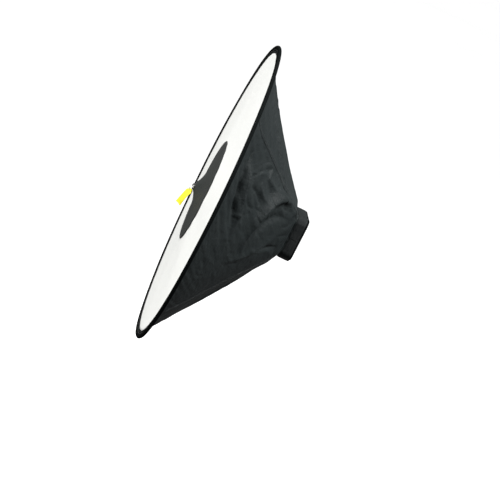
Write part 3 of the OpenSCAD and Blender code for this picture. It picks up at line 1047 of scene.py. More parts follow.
@dataclass
class Cone(Assembly):
    """The cone: four sewn gores of coated nylon, a silver lining and a tape over each seam.

    The rumple is each gore's share of small creases, and the calm is the share left in the lower cloth.
    The belly, the fullness and the draw are in millimetres. The cloth settles by the cap at most.
    """

    rows: int = 60
    columns: int = 256
    nylon: float = 0.5 * MM
    lining: float = 0.3 * MM
    slack: float = 0.004
    rumple: tuple[float, ...] = (0.85, 0.5, 0.85, 0.7)
    calm: float = 0.4
    calm_span: tuple[float, float] = (-0.09, 0.03)
    trimmed: int = 4
    tuck: float = 2 * MM
    frames: int = 26
    weight: float = 1.5
    cap: float = 12 * MM
    belly: float = 2.5
    fullness: float = 8.0
    drawn_in: float = 4.0
    pull: Vector = field(default_factory=lambda: Vector((0.0, 0.44, -0.90)))
    surface: Array = field(default_factory=lambda: np.zeros((0, 0, 3)))
    backing: Array = field(default_factory=lambda: np.zeros((0, 0, 3)))

    def outline(self, direction: Array) -> Array:
        """Walks the neck's rounded outline by direction, so that each corner's middle is at 45 degrees.

        Args:
            direction: Directions in radians.

        Returns:
            Points by two.
        """
        quarter, flat = math.pi / 2, math.radians(36)
        turn = np.floor((direction + quarter / 2) / quarter)
        a = direction - turn * quarter
        swapped = np.mod(turn, 2) == 1
        half_x = np.where(swapped, self.sizes.neck_half_h, self.sizes.neck_half_w)
        half_y = np.where(swapped, self.sizes.neck_half_w, self.sizes.neck_half_h)
        bend = np.maximum(np.abs(a) - flat, 0.0) * (quarter / 2) / (quarter / 2 - flat)
        corner = self.sizes.corner
        x = half_x - corner + corner * np.cos(bend)
        y = (half_y - corner) * np.minimum(np.abs(a), flat) / flat + corner * np.sin(bend)
        y = np.copysign(y, a)
        spin = turn * quarter
        return np.stack([x * np.cos(spin) - y * np.sin(spin), x * np.sin(spin) + y * np.cos(spin)], axis=-1)

    def taut(self, share: Array, direction: Array) -> Array:
        """Returns the taut cone: straight lines from the neck's outline to the rim's circle.

        Args:
            share: How far along, from 0 at the neck to 1 at the rim.
            direction: Directions in radians.

        Returns:
            Forward-axes points.
        """
        share, direction = np.broadcast_arrays(share, direction)
        neck = self.outline(direction)
        rim = self.sizes.binding_in * np.stack([np.cos(direction), np.sin(direction)], axis=-1)
        flat = neck + (rim - neck) * share[..., None]
        end = self.sizes.rim_depth - 0.65 * MM
        height = self.sizes.neck_length + (end - self.sizes.neck_length) * share
        return np.concatenate([flat, height[..., None]], axis=-1)

    def directions(self, count: int) -> Array:
        """Returns even directions round the cone, from the seam at the lower right."""
        return np.linspace(0.0, TURN, count, endpoint=False) - math.pi / 4

    def sagged(self, grid: Array, share: Array, direction: Array) -> Array:
        """Lets the taut cloth give way a little: inward everywhere, and down where its weight pulls it.

        Args:
            grid: The taut cone.
            share: Each row's share from neck to rim.
            direction: Each column's direction.

        Returns:
            The cone with its give.
        """
        belly = np.sin(math.pi * np.power(share, 1.2))[:, None]
        away = np.cos(2.0 * direction)[None] ** 2 * np.abs(np.cos(direction))[None] ** 2
        hang = (np.power(share, 1.5) * (1.0 - np.power(share, 26)))[:, None]
        hang = hang * (6.0 + 5.5 * np.sin(direction)[None]) * MM
        down = np.array([0.0, self.pull.z, -self.pull.y])
        inward = -grid_normals(grid, True) * outward_sign(grid)
        return grid + inward * (belly * away * self.belly * MM)[..., None] + down * hang[..., None]

    def filled(self, grid: Array, share: Array, direction: Array) -> Array:
        """Fills the cloth out over the neck's frame, and draws it in towards the rim, above and below.

        Args:
            grid: The settled cone.
            share: Each row's share from neck to rim.
            direction: Each column's direction.

        Returns:
            The cone with its fuller neck.
        """
        crown = np.clip(np.sin(direction), 0.0, 1.0)[None] ** 1.5
        keel = np.clip(-np.sin(direction), 0.0, 1.0)[None] ** 1.5
        full = (self.fullness * smooth(share, 0.0, 0.09) * np.exp(-((share / 0.36) ** 2)))[:, None]
        drawn = (self.drawn_in * smooth(share, 0.35, 0.85) * (1.0 - np.power(share, 30)))[:, None]
        give = (full - drawn) * crown + (0.2 * full - 1.2 * np.sin(math.pi * share)[:, None]) * keel
        outward = grid_normals(grid, True) * outward_sign(grid)
        return grid + outward * (give * MM)[..., None]

    def relaxed(self, grid: Array, share: Array, direction: Array) -> Array:
        """Runs the cloth simulation: slack nylon, sewn at the neck and the rim, under its own weight.

        Args:
            grid: The cone to start from, in forward axes.
            share: Each row's share from neck to rim.
            direction: Each column's direction.

        Returns:
            The settled cone, each point no further than a cap from where it started.
        """
        rows, cols = grid.shape[:2]
        cloth = make_piece("cone_at_rest", facing(grid).reshape(-1, 3), grid_faces(rows, cols, True))
        index = np.arange(rows * cols).reshape(rows, cols)
        held = cloth.vertex_groups.new(name="sewn")
        held.add(np.concatenate([index[0], index[-1]]).tolist(), 1.0, "REPLACE")
        held.add(index[1:-1, :: cols // 4].ravel().tolist(), 0.16, "REPLACE")
        cloth_modifier = cloth.modifiers.new("cloth", "CLOTH")
        settings = cloth_modifier.settings
        settings.quality = 6
        settings.mass = 0.15
        settings.tension_stiffness = 30.0
        settings.compression_stiffness = 12.0
        settings.shear_stiffness = 6.0
        settings.bending_stiffness = 0.35
        settings.air_damping = 2.0
        settings.shrink_min = -self.slack
        settings.vertex_group_mass = held.name
        settings.pin_stiffness = 1.0
        cloth_modifier.collision_settings.use_collision = False
        cloth_modifier.point_cache.frame_end = self.frames
        scene = bpy.context.scene
        gravity = scene.gravity.copy()
        scene.gravity = self.pull * self.weight
        for step in range(1, self.frames + 1):
            scene.frame_set(step)
        ready = cloth.evaluated_get(bpy.context.evaluated_depsgraph_get())
        settled = np.zeros(rows * cols * 3, dtype=np.float32)
        ready.data.vertices.foreach_get("co", settled)
        scene.frame_set(1)
        scene.gravity = gravity
        bpy.data.objects.remove(cloth)
        settled = settled.reshape(rows, cols, 3).astype(float)
        settled = np.stack([settled[..., 0], settled[..., 2], -settled[..., 1]], axis=-1)
        move = settled - grid
        reach = np.linalg.norm(move, axis=-1, keepdims=True)
        LOG.info("cloth moved %.2f mm at most, %.2f mm on average", reach.max() / MM, reach.mean() / MM)
        return grid + move * np.minimum(1.0, self.cap / np.maximum(reach, 1e-9))

    def build(self) -> None:
        """Builds the gores, their seams, the lining and the tapes."""
        share = np.linspace(0.0, 1.0, self.rows)
        direction = self.directions(self.columns)
        grid = self.taut(share[:, None], direction[None])
        grid = self.sagged(grid, share, direction)
        grid = self.relaxed(grid, share, direction)
        self.surface = densified(self.filled(grid, share, direction), 2)
        height = self.creased()
        normals = grid_normals(self.surface, True) * outward_sign(self.surface)
        self.backing = self.surface + normals * self.lowered(height)[..., None]
        self.surface = self.surface + normals * height[..., None]
        self.surface[-1, :, :2] *= 1.0 + self.tuck / self.sizes.binding_in
        self.gores()
        self.seams()
        self.line()

    def creased(self) -> Array:
        """Works out the creases of each gore.

        Returns:
            How far each point of the cone's surface stands off it, outward.
        """
        rows, cols = self.surface.shape[:2]
        quarter = cols // 4
        share = np.linspace(0.0, 1.0, rows)[:, None]
        across = np.linspace(-1.0, 1.0, quarter, endpoint=False)[None]
        edge = self.sizes.binding_in * math.pi / 4
        slant = float(np.linalg.norm(self.surface[-1, 0] - self.surface[0, 0]))
        u = across * (0.18 + 0.82 * share) * edge
        v = share * slant * np.ones_like(across)
        keep = np.sin(math.pi * np.clip(share, 0.0, 1.0)) ** 0.35 * (1.0 - np.abs(across) ** 8)
        height = np.zeros((rows, cols))
        for k in range(4):
            small = scattered_creases(30 + k, 170, 1.7 * edge, slant, math.radians(62))
            up = self.surface[:, k * quarter:(k + 1) * quarter, 1]
            calm = self.calm + (1.0 - self.calm) * smooth(up, *self.calm_span)
            total = self.rumple[k] * calm * sum(fold.height(u, v) for fold in small)
            total = total + sum(fold.height(u, v) for fold in LONG_FOLDS[k])
            height[:, k * quarter:(k + 1) * quarter] = total * keep
        return height

    @staticmethod
    def lowered(height: Array) -> Array:
        """Finds where the lining lies: it follows the nylon's creases inward, and stays back from the others.

        Args:
            height: How far the nylon stands off the smooth cone.

        Returns:
            The same for the lining's face, which is nowhere above the nylon's neighbouring points.
        """
        low = np.minimum(height, 0.0)
        for _ in range(2):
            ends = np.concatenate([low[:1], low, low[-1:]])
            beside = [np.roll(low, step, axis=1) for step in (1, -1)]
            low = np.minimum.reduce([ends[:-2], ends[1:-1], ends[2:], *beside])
        for _ in range(2):
            low = (np.roll(low, 1, axis=1) + 2.0 * low + np.roll(low, -1, axis=1)) / 4.0
        return low - 0.3 * MM * np.minimum(1.0, np.linspace(0.0, 12.0, len(low)))[:, None]

    def gores(self) -> None:
        """Cuts the cone into its four gores at the seams and gives each its thickness."""
        rows, cols = self.surface.shape[:2]
        quarter = cols // 4
        normals = grid_normals(self.surface, True) * outward_sign(self.surface)
        names = ["right", "top", "left", "bottom"]
        for k, name in enumerate(names):
            pick = np.arange(k * quarter, (k + 1) * quarter + 1) % cols
            outer = self.surface[:, pick]
            inner = outer - normals[:, pick] * self.nylon
            uv = cloth_uv(outer, False)
            piece = make_shell(f"gore_{name}_nylon", outer, inner, uv, wrap=False)
            self.place(piece, NYLON, f"gore_{name}")

    @staticmethod
    def seam_strip(
        cloth: Array, seam: float, half: float, height: float, depth_in: float, rows: Array
    ) -> tuple[Array, Array]:
        """Follows a seam with a strip of even width.

        Args:
            cloth: The cone's cloth that the strip lies on.
            seam: The seam's direction in radians.
            half: Half the strip's width.
            height: How far its middle stands off the cloth, outward.
            depth_in: How far in from the outside of the cone it lies.
            rows: Shares from neck to rim.

        Returns:
            Rows by columns by three, and the cone's outward normals there.
        """
        across = np.linspace(-1.0, 1.0, 9)
        middle = sample(cloth, rows[:, None], np.array([[seam + math.pi / 4]]))
        radius = np.linalg.norm(middle[..., :2], axis=-1)
        place = seam + math.pi / 4 + across[None] * half / radius
        outward = grid_normals(cloth, True) * outward_sign(cloth)
        normals = unit(sample(outward, rows[:, None], place))
        points = sample(cloth, rows[:, None], place)
        crown = height * (1.0 - np.abs(across) ** 3)[None, :, None] - depth_in
        return points + normals * crown, normals

    def seams(self) -> None:
        """Sews a felled rib with two rows of stitches over each seam."""
        rows = np.linspace(0.012, 0.992, 90)
        stitches = []
        for k in range(4):
            seam = math.pi / 4 + k * math.pi / 2
            outer, normals = self.seam_strip(self.surface, seam, 3.2 * MM, 0.5 * MM, 0.0, rows)
            inner = outer - normals * 0.45 * MM
            inner[:, [0, -1]] = outer[:, [0, -1]] - normals[:, [0, -1]] * 0.3 * MM
            name = f"seam_rib_{['upper_right', 'upper_left', 'lower_left', 'lower_right'][k]}"
            self.place(make_shell(name, outer, inner, cloth_uv(outer, False), wrap=False), NYLON)
            for column in (2, 6):
                stitches.append((outer[:, column] + normals[:, column] * 0.1 * MM, normals[:, column]))
        self.place(stitch_rows("seam_stitches", stitches, 3.4 * MM, 0.22 * MM), BLACK_THREAD)

    def line(self) -> None:
        """Lines the cone with silver cloth and covers each seam with a tape."""
        normals = grid_normals(self.backing, True) * outward_sign(self.backing)
        outer = (self.backing - normals * (self.nylon + 0.15 * MM))[:-self.trimmed]
        inner = outer - normals[:-self.trimmed] * self.lining
        piece = make_shell("lining_silver", outer, inner, cloth_uv(outer, True), wrap=True)
        self.place(piece, SILVER, "silver_lining")
        rows = np.linspace(0.13, 0.975, 70)
        tapes = []
        for k in range(4):
            depth_in = self.nylon + self.lining + 0.55 * MM
            seam = math.pi / 4 + k * math.pi / 2
            outer, normals = self.seam_strip(self.backing, seam, 4.0 * MM, 0.0, depth_in, rows)
            name = f"tape_{['upper_right', 'upper_left', 'lower_left', 'lower_right'][k]}"
            piece = make_shell(name, outer, outer - normals * 0.35 * MM, cloth_uv(outer, False), wrap=False)
            tapes.append(self.place(piece, SEAM_TAPE))
        for tape in tapes:
            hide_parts("seam_tapes")


# The long folds of the right, top, left and bottom gores. Places are in metres: how far up or round
# the gore from its middle, and how far along it from the neck.
LONG_FOLDS: list[list[Crease]] = [
    [
        Crease((0.112, 0.184), (0.010, 0.156), -0.002, 0.0046, -0.0100, -0.5),
        Crease((0.100, 0.172), (0.004, 0.144), 0.001, 0.0050, 0.0050, 0.4),
        Crease((0.040, 0.010), (-0.006, 0.102), -0.040, 0.0090, 0.0100, -0.62),
        Crease((0.028, 0.030), (-0.014, 0.084), -0.020, 0.0070, -0.0040, 0.0),
        Crease((0.080, 0.160), (0.098, 0.110), 0.003, 0.0024, -0.0030, 0.3),
        Crease((0.088, 0.166), (0.096, 0.124), -0.004, 0.0022, 0.0022, 0.0),
        Crease((0.066, 0.146), (0.040, 0.108), 0.004, 0.0026, -0.0026, 0.3),
        Crease((0.074, 0.128), (0.048, 0.100), -0.003, 0.0026, 0.0022, 0.3),
        Crease((0.060, 0.160), (0.034, 0.126), -0.003, 0.0024, -0.0022, 0.3),
        Crease((-0.004, 0.040), (-0.050, 0.120), 0.006, 0.0050, 0.0030, -0.3),
        Crease((-0.020, 0.020), (-0.030, 0.066), -0.004, 0.0036, -0.0034, 0.2),
        Crease((0.052, 0.050), (0.100, 0.140), 0.004, 0.0050, 0.0030, 0.3),
    ],
    [
        Crease((-0.050, 0.060), (-0.080, 0.175), 0.006, 0.0050, 0.0026, 0.3),
        Crease((0.030, 0.050), (0.070, 0.170), -0.005, 0.0050, 0.0024, -0.3),
        Crease((-0.030, 0.176), (0.060, 0.186), 0.004, 0.0036, -0.0022, 0.3),
    ],
    [
        Crease((0.060, 0.188), (-0.060, 0.176), 0.006, 0.0042, -0.0030, 0.3),
        Crease((0.020, 0.020), (0.040, 0.110), 0.012, 0.0060, 0.0042, 0.4),
        Crease((-0.016, 0.030), (-0.060, 0.140), -0.006, 0.0050, 0.0026, 0.3),
    ],
    [
        Crease((-0.040, 0.050), (-0.080, 0.160), 0.005, 0.0050, 0.0022, 0.3),
        Crease((0.020, 0.040), (0.066, 0.150), -0.006, 0.0050, 0.0026, 0.3),
    ],
]


def outward_sign(grid: Array) -> float:
    """Returns 1 or -1, by which a wrapped grid's normals are multiplied to point away from the light axis."""
    normals = grid_normals(grid, True)
    across = (normals[..., :2] * grid[..., :2]).sum()
    return 1.0 if across > 0 else -1.0


def densified(grid: Array, times: int) -> Array:
    """Adds rows and columns between a wrapped grid's own, on smooth cubic curves through its points.

    Each new point follows the Catmull-Rom curve through its four nearest neighbours.

    Args:
        grid: Rows by columns by three.
        times: How many steps each gap is cut into.

    Returns:
        The finer grid.
    """
    def between(a: Array, b: Array, c: Array, d: Array, t: float) -> Array:
        square, cube = 2 * a - 5 * b + 4 * c - d, 3 * b - a - 3 * c + d
        return 0.5 * ((2 * b) + (c - a) * t + square * t**2 + cube * t**3)

    ends = np.concatenate([2 * grid[:1] - grid[1:2], grid, 2 * grid[-1:] - grid[-2:-1]])
    steps = [between(ends[:-3], ends[1:-2], ends[2:-1], ends[3:], k / times) for k in range(times)]
    tall = np.stack(steps, axis=1).reshape(-1, *grid.shape[1:])
    tall = np.concatenate([tall, grid[-1:]])
    a, b, c, d = (np.roll(tall, k, axis=1) for k in (1, 0, -1, -2))
    return np.stack([between(a, b, c, d, k / times) for k in range(times)], axis=2).reshape(len(tall), -1, 3)


def sample(grid: Array, share: Array, angle: Array) -> Array:
    """Reads a wrapped grid between its points.

    Args:
        grid: Rows by columns by three.
        share: Where along the rows, from 0 to 1.
        angle: Where round the columns, in radians from the first.

    Returns:
        The values there, mixed from the four nearest points.
    """
    rows, cols = grid.shape[:2]
    share, angle = np.broadcast_arrays(share, angle)
    y = np.clip(share, 0.0, 1.0) * (rows - 1)
    x = np.mod(angle / TURN, 1.0) * cols
    y0 = np.minimum(y.astype(int), rows - 2)
    x0 = np.floor(x).astype(int)
    fy, fx = (y - y0)[..., None], (x - x0)[..., None]
    left, right = x0 % cols, (x0 + 1) % cols
    low = grid[y0, left] * (1 - fx) + grid[y0, right] * fx
    high = grid[y0 + 1, left] * (1 - fx) + grid[y0 + 1, right] * fx
    return low * (1 - fy) + high * fy


def cloth_uv(grid: Array, wrap: bool) -> Array:
    """Lays a cloth out flat: rows by their mean length along, columns by their mean length across.

    Args:
        grid: Rows by columns by three.
        wrap: Whether the last column joins the first.

    Returns:
        Rows by columns by two, in metres.
    """
    along = np.linalg.norm(np.diff(grid, axis=0), axis=-1).mean(axis=1)
    v = np.concatenate([[0.0], np.cumsum(along)])
    across = np.linalg.norm(np.diff(grid, axis=1), axis=-1)
    run = np.concatenate([np.zeros((len(grid), 1)), np.cumsum(across, axis=1)], axis=1)
    u = run if wrap else run - run[:, -1:] / 2
    return np.stack([u, np.broadcast_to(v[:, None], u.shape)], axis=-1)


@dataclass
class Front(Assembly):
    """The front: a white diffuser with a dark disc sewn to its middle, drawn out by the hub."""

    columns: int = 360
    cloth: float = 0.4 * MM
    overlap: float = 5 * MM

    def membrane(self, radii: Array, base: float, seed: int, rumple: float) -> Array:
        """Shapes a taut cloth over the hub, with small radial tension folds.

        The height is the tent's, and folds of whole cycles round the disc fade away from both edges.

        Args:
            radii: Radii from the outside in.
            base: How far the cloth lies in front of the rim's plane.
            seed: Which draw of folds to use.
            rumple: The folds' depth.

        Returns:
            Rows by columns by three, in forward axes.
        """
        angle = np.linspace(0.0, TURN, self.columns, endpoint=False)
        height = self.sizes.rim_depth + base + self.sizes.tent(radii)[:, None]
        outer, inner = radii.max(), radii.min()
        near_rim = np.exp(-(outer - radii) / (9 * MM))[:, None] * smooth(outer - radii, 0.0, 4 * MM)[:, None]
        near_hub = np.exp(-(radii - inner) / (16 * MM))[:, None]
        wide = np.sin(math.pi * np.clip((radii - inner) / (outer - inner), 0, 1))[:, None]
        fold = ripples(angle, seed, 24, 90, 22)[None] * near_rim
        fold = fold + ripples(angle, seed + 1, 7, 26, 9)[None] * near_hub
        fold = fold * rumple + ripples(angle, seed + 2, 2, 9, 6)[None] * wide * rumple * 1.4
        return polar(radii[:, None], angle[None], height + fold)

    def build(self) -> None:
        """Builds the diffuser, the disc, the reflector and the stitching between them."""
        sizes = self.sizes
        radii = np.geomspace(sizes.binding_in + 1 * MM, sizes.disc_radius - self.overlap, 60)
        radii[0] = sizes.binding_in + 1 * MM
        diffuser = self.membrane(radii, 0.25 * MM + self.cloth, 51, 0.35 * MM)
        inner = diffuser - np.array([0.0, 0.0, self.cloth])
        piece = make_shell("diffuser_cloth", diffuser[::-1], inner[::-1], diffuser[::-1, :, :2], wrap=True)
        self.finish(piece, DIFFUSER, "front_diffuser", diffuser, ["rim_binding"])

        radii = np.geomspace(sizes.disc_radius, 2.7 * MM, 64)
        disc = self.membrane(radii, 0.75 * MM + self.cloth + 0.1 * MM, 61, 0.12 * MM)
        hem = smooth(radii, sizes.disc_radius - 5.6 * MM, sizes.disc_radius - 4.6 * MM) * 0.3 * MM
        edge = smooth(radii, sizes.disc_radius - 0.7 * MM, sizes.disc_radius + 0.1 * MM) * -0.5 * MM
        disc[..., 2] += (hem + edge)[:, None]
        inner = disc - np.array([0.0, 0.0, self.cloth])
        piece = make_shell("disc_taffeta", disc[::-1], inner[::-1], disc[::-1, :, :2], wrap=True)
        self.finish(piece, DISC, "centre_disc", disc, ["front_diffuser", "hub_cap"])

        radii = np.geomspace(sizes.disc_radius - self.overlap - 0.5 * MM, 8 * MM, 40)
        back = self.membrane(radii, 0.25 * MM + self.cloth, 71, 0.1 * MM)
        inner = back - np.array([0.0, 0.0, self.cloth])
        piece = make_shell("reflector_cloth", back[::-1], inner[::-1], back[::-1, :, :2], wrap=True)
        self.finish(piece, SILVER, "disc_reflector", back, ["centre_disc"])

        angle = np.linspace(0.0, TURN, 721)
        rows = []
        for radius in (sizes.disc_radius - 1.8 * MM, sizes.disc_radius - 4.0 * MM):
            height = sizes.rim_depth + float(sizes.tent(np.array(radius))) + 0.75 * MM + self.cloth + 0.5 * MM
            path = polar(radius, angle, height)
            rows.append((path, np.broadcast_to([0.0, 0.0, 1.0], path.shape)))
        stitches = stitch_rows("disc_stitches", rows, 3.2 * MM, 0.22 * MM)
        self.wardrobe.dress(BLACK_THREAD, stitches)
        self.bend(stitches)

    def bend(self, piece: bpy.types.Object) -> None:
        """Bakes the transform of a piece of the front into its mesh."""
        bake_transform(piece)

    def finish(
        self, piece: bpy.types.Object, finish: Finish, node: str, grid: Array, rests_on: list[str]
    ) -> None:
        """Dresses one cloth of the front, bakes its transform, and hides the node that it stands for."""
        self.wardrobe.dress(finish, piece)
        self.bend(piece)
        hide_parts(node)


@dataclass
class Neck(Assembly):
    """The neck: a soft sleeve with a bound hem, grip pads inside, and a webbing strap round it."""

    columns: int = 260
    sleeve: float = 1.2 * MM
    strap: float = 1.3 * MM

    def ring(self, name: str, inset: float, profile: Array, depth: float, seed: int) -> bpy.types.Object:
        """Carries a profile round the neck.

        Args:
            name: The piece's name.
            inset: How far in from the neck's outside the path runs.
            profile: Profile points by two, outward and forward from the path.
            depth: How far the cloth wavers outward.
            seed: Which draw of the waver to use.

        Returns:
            The new object.
        """
        sizes = self.sizes
        corner = sizes.corner - inset
        half_w, half_h = sizes.neck_half_w - inset, sizes.neck_half_h - inset
        path, outward = rounded_path(half_w, half_h, corner, self.columns)
        zero = np.zeros((len(path), 1))
        path, outward = np.concatenate([path, zero], axis=1), np.concatenate([outward, zero], axis=1)
        axis = np.broadcast_to([0.0, 0.0, 1.0], path.shape)
        angle = np.linspace(0.0, TURN, len(path), endpoint=False)
        waver = ripples(angle, seed, 3, 30, 12)[:, None] * np.ones(len(profile))[None] * depth
        lift = np.stack([waver, np.zeros_like(waver)], axis=-1)
        return sweep_ring(name, path, outward, axis, profile, lift)

    @staticmethod
    def flat_profile(thickness: float, low: float, high: float, round_over: float) -> Array:
        """Draws a flat band's section, with its edges rounded over.

        Args:
            thickness: The band's thickness, inward from the path.
            low: Where the band starts, forward of the mouth.
            high: Where it ends.
            round_over: The radius of its edges.

        Returns:
            Points by two, going round from the outside towards the front.
        """
        arc = np.linspace(0.0, math.pi / 2, 5)
        r = round_over
        near, far = -r, -thickness + r
        corners = [(near, high - r, 0), (far, high - r, 1), (far, low + r, 2), (near, low + r, 3)]
        return np.concatenate([
            np.stack([x + r * np.cos(arc + k * math.pi / 2), y + r * np.sin(arc + k * math.pi / 2)], axis=-1)
            for x, y, k in corners
        ])

    def build(self) -> None:
        """Builds the soft parts of the neck and dresses its moulded ones."""
        sizes = self.sizes
        gap = 0.05 * MM
        strap = self.flat_profile(self.strap, sizes.strap_low, sizes.strap_high, 0.45 * MM)
        self.place(self.ring("strap_webbing_band", 0.0, strap, 0.1 * MM, 81), WEBBING, "cinch_strap")

        inset = self.strap + gap
        sleeve = self.flat_profile(self.sleeve, 1.6 * MM, sizes.neck_length - 0.9 * MM, 0.4 * MM)
        piece = self.place(self.ring("sleeve_knit", inset, sleeve, 0.06 * MM, 82), SLEEVE, "neck_sleeve")

        hem = self.flat_profile(2.2 * MM, 0.0, 2.5 * MM, 1.05 * MM)
        self.place(self.ring("hem_binding", 0.35 * MM, hem, 0.08 * MM, 83), BINDING, "neck_hem")
        self.collar()
        self.pads()
        self.tail()
        self.wardrobe.dress_nodes(PLASTIC, "neck_frame", "strap_buckle")
        self.wardrobe.dress_nodes(PIN_STEEL, "pivot_pins")

    def collar(self) -> None:
        """Gathers the cone's seam allowance into a soft collar just in front of the strap."""
        sizes = self.sizes
        low, high = sizes.strap_high + 0.2 * MM, sizes.neck_length + 1.2 * MM
        profile = self.flat_profile(1.5 * MM, low, high, 0.7 * MM)
        self.place(self.ring("cone_collar", 0.1 * MM, profile, 0.32 * MM, 84), NYLON)

    def pads(self) -> None:
        """Makes the four ribbed pads that grip the flash head.

        Each is a plate whose inner face rises in ribs as the square of a sine.
        """
        low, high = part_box("grip_pads")
        half_w, half_h = high[0], high[2]
        front, back = -low[1], -high[1]
        thickness = 1.2 * MM
        sides = [(1, 0, half_w, half_h - thickness - 11 * MM), (-1, 0, half_w, half_h - thickness - 11 * MM),
                 (0, 1, half_h, half_w - thickness - 11 * MM), (0, -1, half_h, half_w - thickness - 11 * MM)]
        for k, (x, y, reach, half) in enumerate(sides):
            forward = np.linspace(back, front, 49)[:, None]
            across = np.linspace(-half, half, 9)[None]
            rise = 0.55 * np.sin(math.pi * (forward - back) / (2.4 * MM)) ** 2 * MM
            face = reach - thickness + 0.55 * MM - rise
            forward, across, face = np.broadcast_arrays(forward, across, face)
            plate = np.full_like(face, reach)
            inner = np.stack([x * face - y * across, y * face + x * across, forward], axis=-1)
            outer = np.stack([x * plate - y * across, y * plate + x * across, forward], axis=-1)
            name = f"grip_pad_{['right', 'left', 'top', 'bottom'][k]}"
            piece = make_shell(name, outer, inner, cloth_uv(outer, False), wrap=False)
            self.place(piece, RUBBER, "grip_pads")

    def tail(self) -> None:
        """Brings the strap's end up through the buckle, round its bar and back along the neck."""
        low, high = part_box("strap_tail")
        buckle_low, buckle_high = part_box("strap_buckle")
        middle = (low[2] + high[2]) / 2
        slot = (buckle_low[0] + buckle_high[0]) / 2 + 0.4 * MM
        bar = buckle_low[0] + 1.2 * MM
        under = buckle_low[2] - 0.9 * MM
        route = np.array([
            (slot + 1.6 * MM, buckle_high[2] + 0.2 * MM), (slot + 0.4 * MM, buckle_low[2] + 0.9 * MM),
            (slot - 1.4 * MM, under + 0.1 * MM), (bar + 0.6 * MM, under), (bar - 1.6 * MM, under + 0.55 * MM),
            (high[0] - 0.6 * MM, middle - 0.1 * MM), (high[0] - 6 * MM, middle),
            (low[0] + 14 * MM, middle + 0.1 * MM),
            (low[0] + 3 * MM, middle - 0.1 * MM), (low[0], middle - 0.25 * MM),
        ])
        run = np.concatenate([[0.0], np.cumsum(np.linalg.norm(np.diff(route, axis=0), axis=1))])
        at = np.linspace(0.0, run[-1], 90)
        line = np.stack([np.interp(at, run, route[:, k]) for k in range(2)], axis=-1)
        for _ in range(3):
            line[1:-1] = (line[:-2] + 2 * line[1:-1] + line[2:]) / 4
        travel = unit(np.gradient(line, axis=0))
        normal = np.stack([-travel[:, 1], travel[:, 0]], axis=-1)
        across = np.linspace(-0.5, 0.5, 9)
        width = (high[1] - low[1]) * (1.0 - 0.16 * smooth(at, run[-1] - 5 * MM, run[-1]))
        forward = -(low[1] + high[1]) / 2 + across[None] * width[:, None]
        grids = []
        for side in (-0.5, 0.5):
            edge = (1.0 - 0.35 * np.abs(across * 2) ** 6)[None]
            x = line[:, :1] + normal[:, :1] * side * self.strap * edge
            y = line[:, 1:] + normal[:, 1:] * side * self.strap * edge
            grids.append(np.stack([x, y, forward], axis=-1))
        inner, outer = grids
        piece = make_shell("strap_tail_webbing", outer, inner, cloth_uv(outer, False), wrap=False)
        self.wardrobe.dress(WEBBING, piece)
        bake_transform(piece)
        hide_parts("strap_tail")
        LOG.info("%s: %d faces", piece.name, len(piece.data.polygons))


@dataclass
class Hub(Assembly):
    """The hub and the four struts that carry it, as they come from the frame."""

    body: str = "hub"

    def build(self) -> None:
        """Dresses the moulded, glass-fibre and steel nodes."""
        self.wardrobe.dress_nodes(PLASTIC, "hub_core", "hub_post", "hub_cap", "disc_washer")
        self.wardrobe.dress_nodes(MAGNET, "hub_magnets")
        for corner in ("upper_right", "upper_left", "lower_left", "lower_right"):
            self.wardrobe.dress_nodes(PLASTIC, f"{corner}_foot", f"{corner}_tip")
            self.wardrobe.dress_nodes(FIBREGLASS, f"{corner}_rod")
            self.wardrobe.dress_nodes(MAGNET, f"{corner}_magnet")


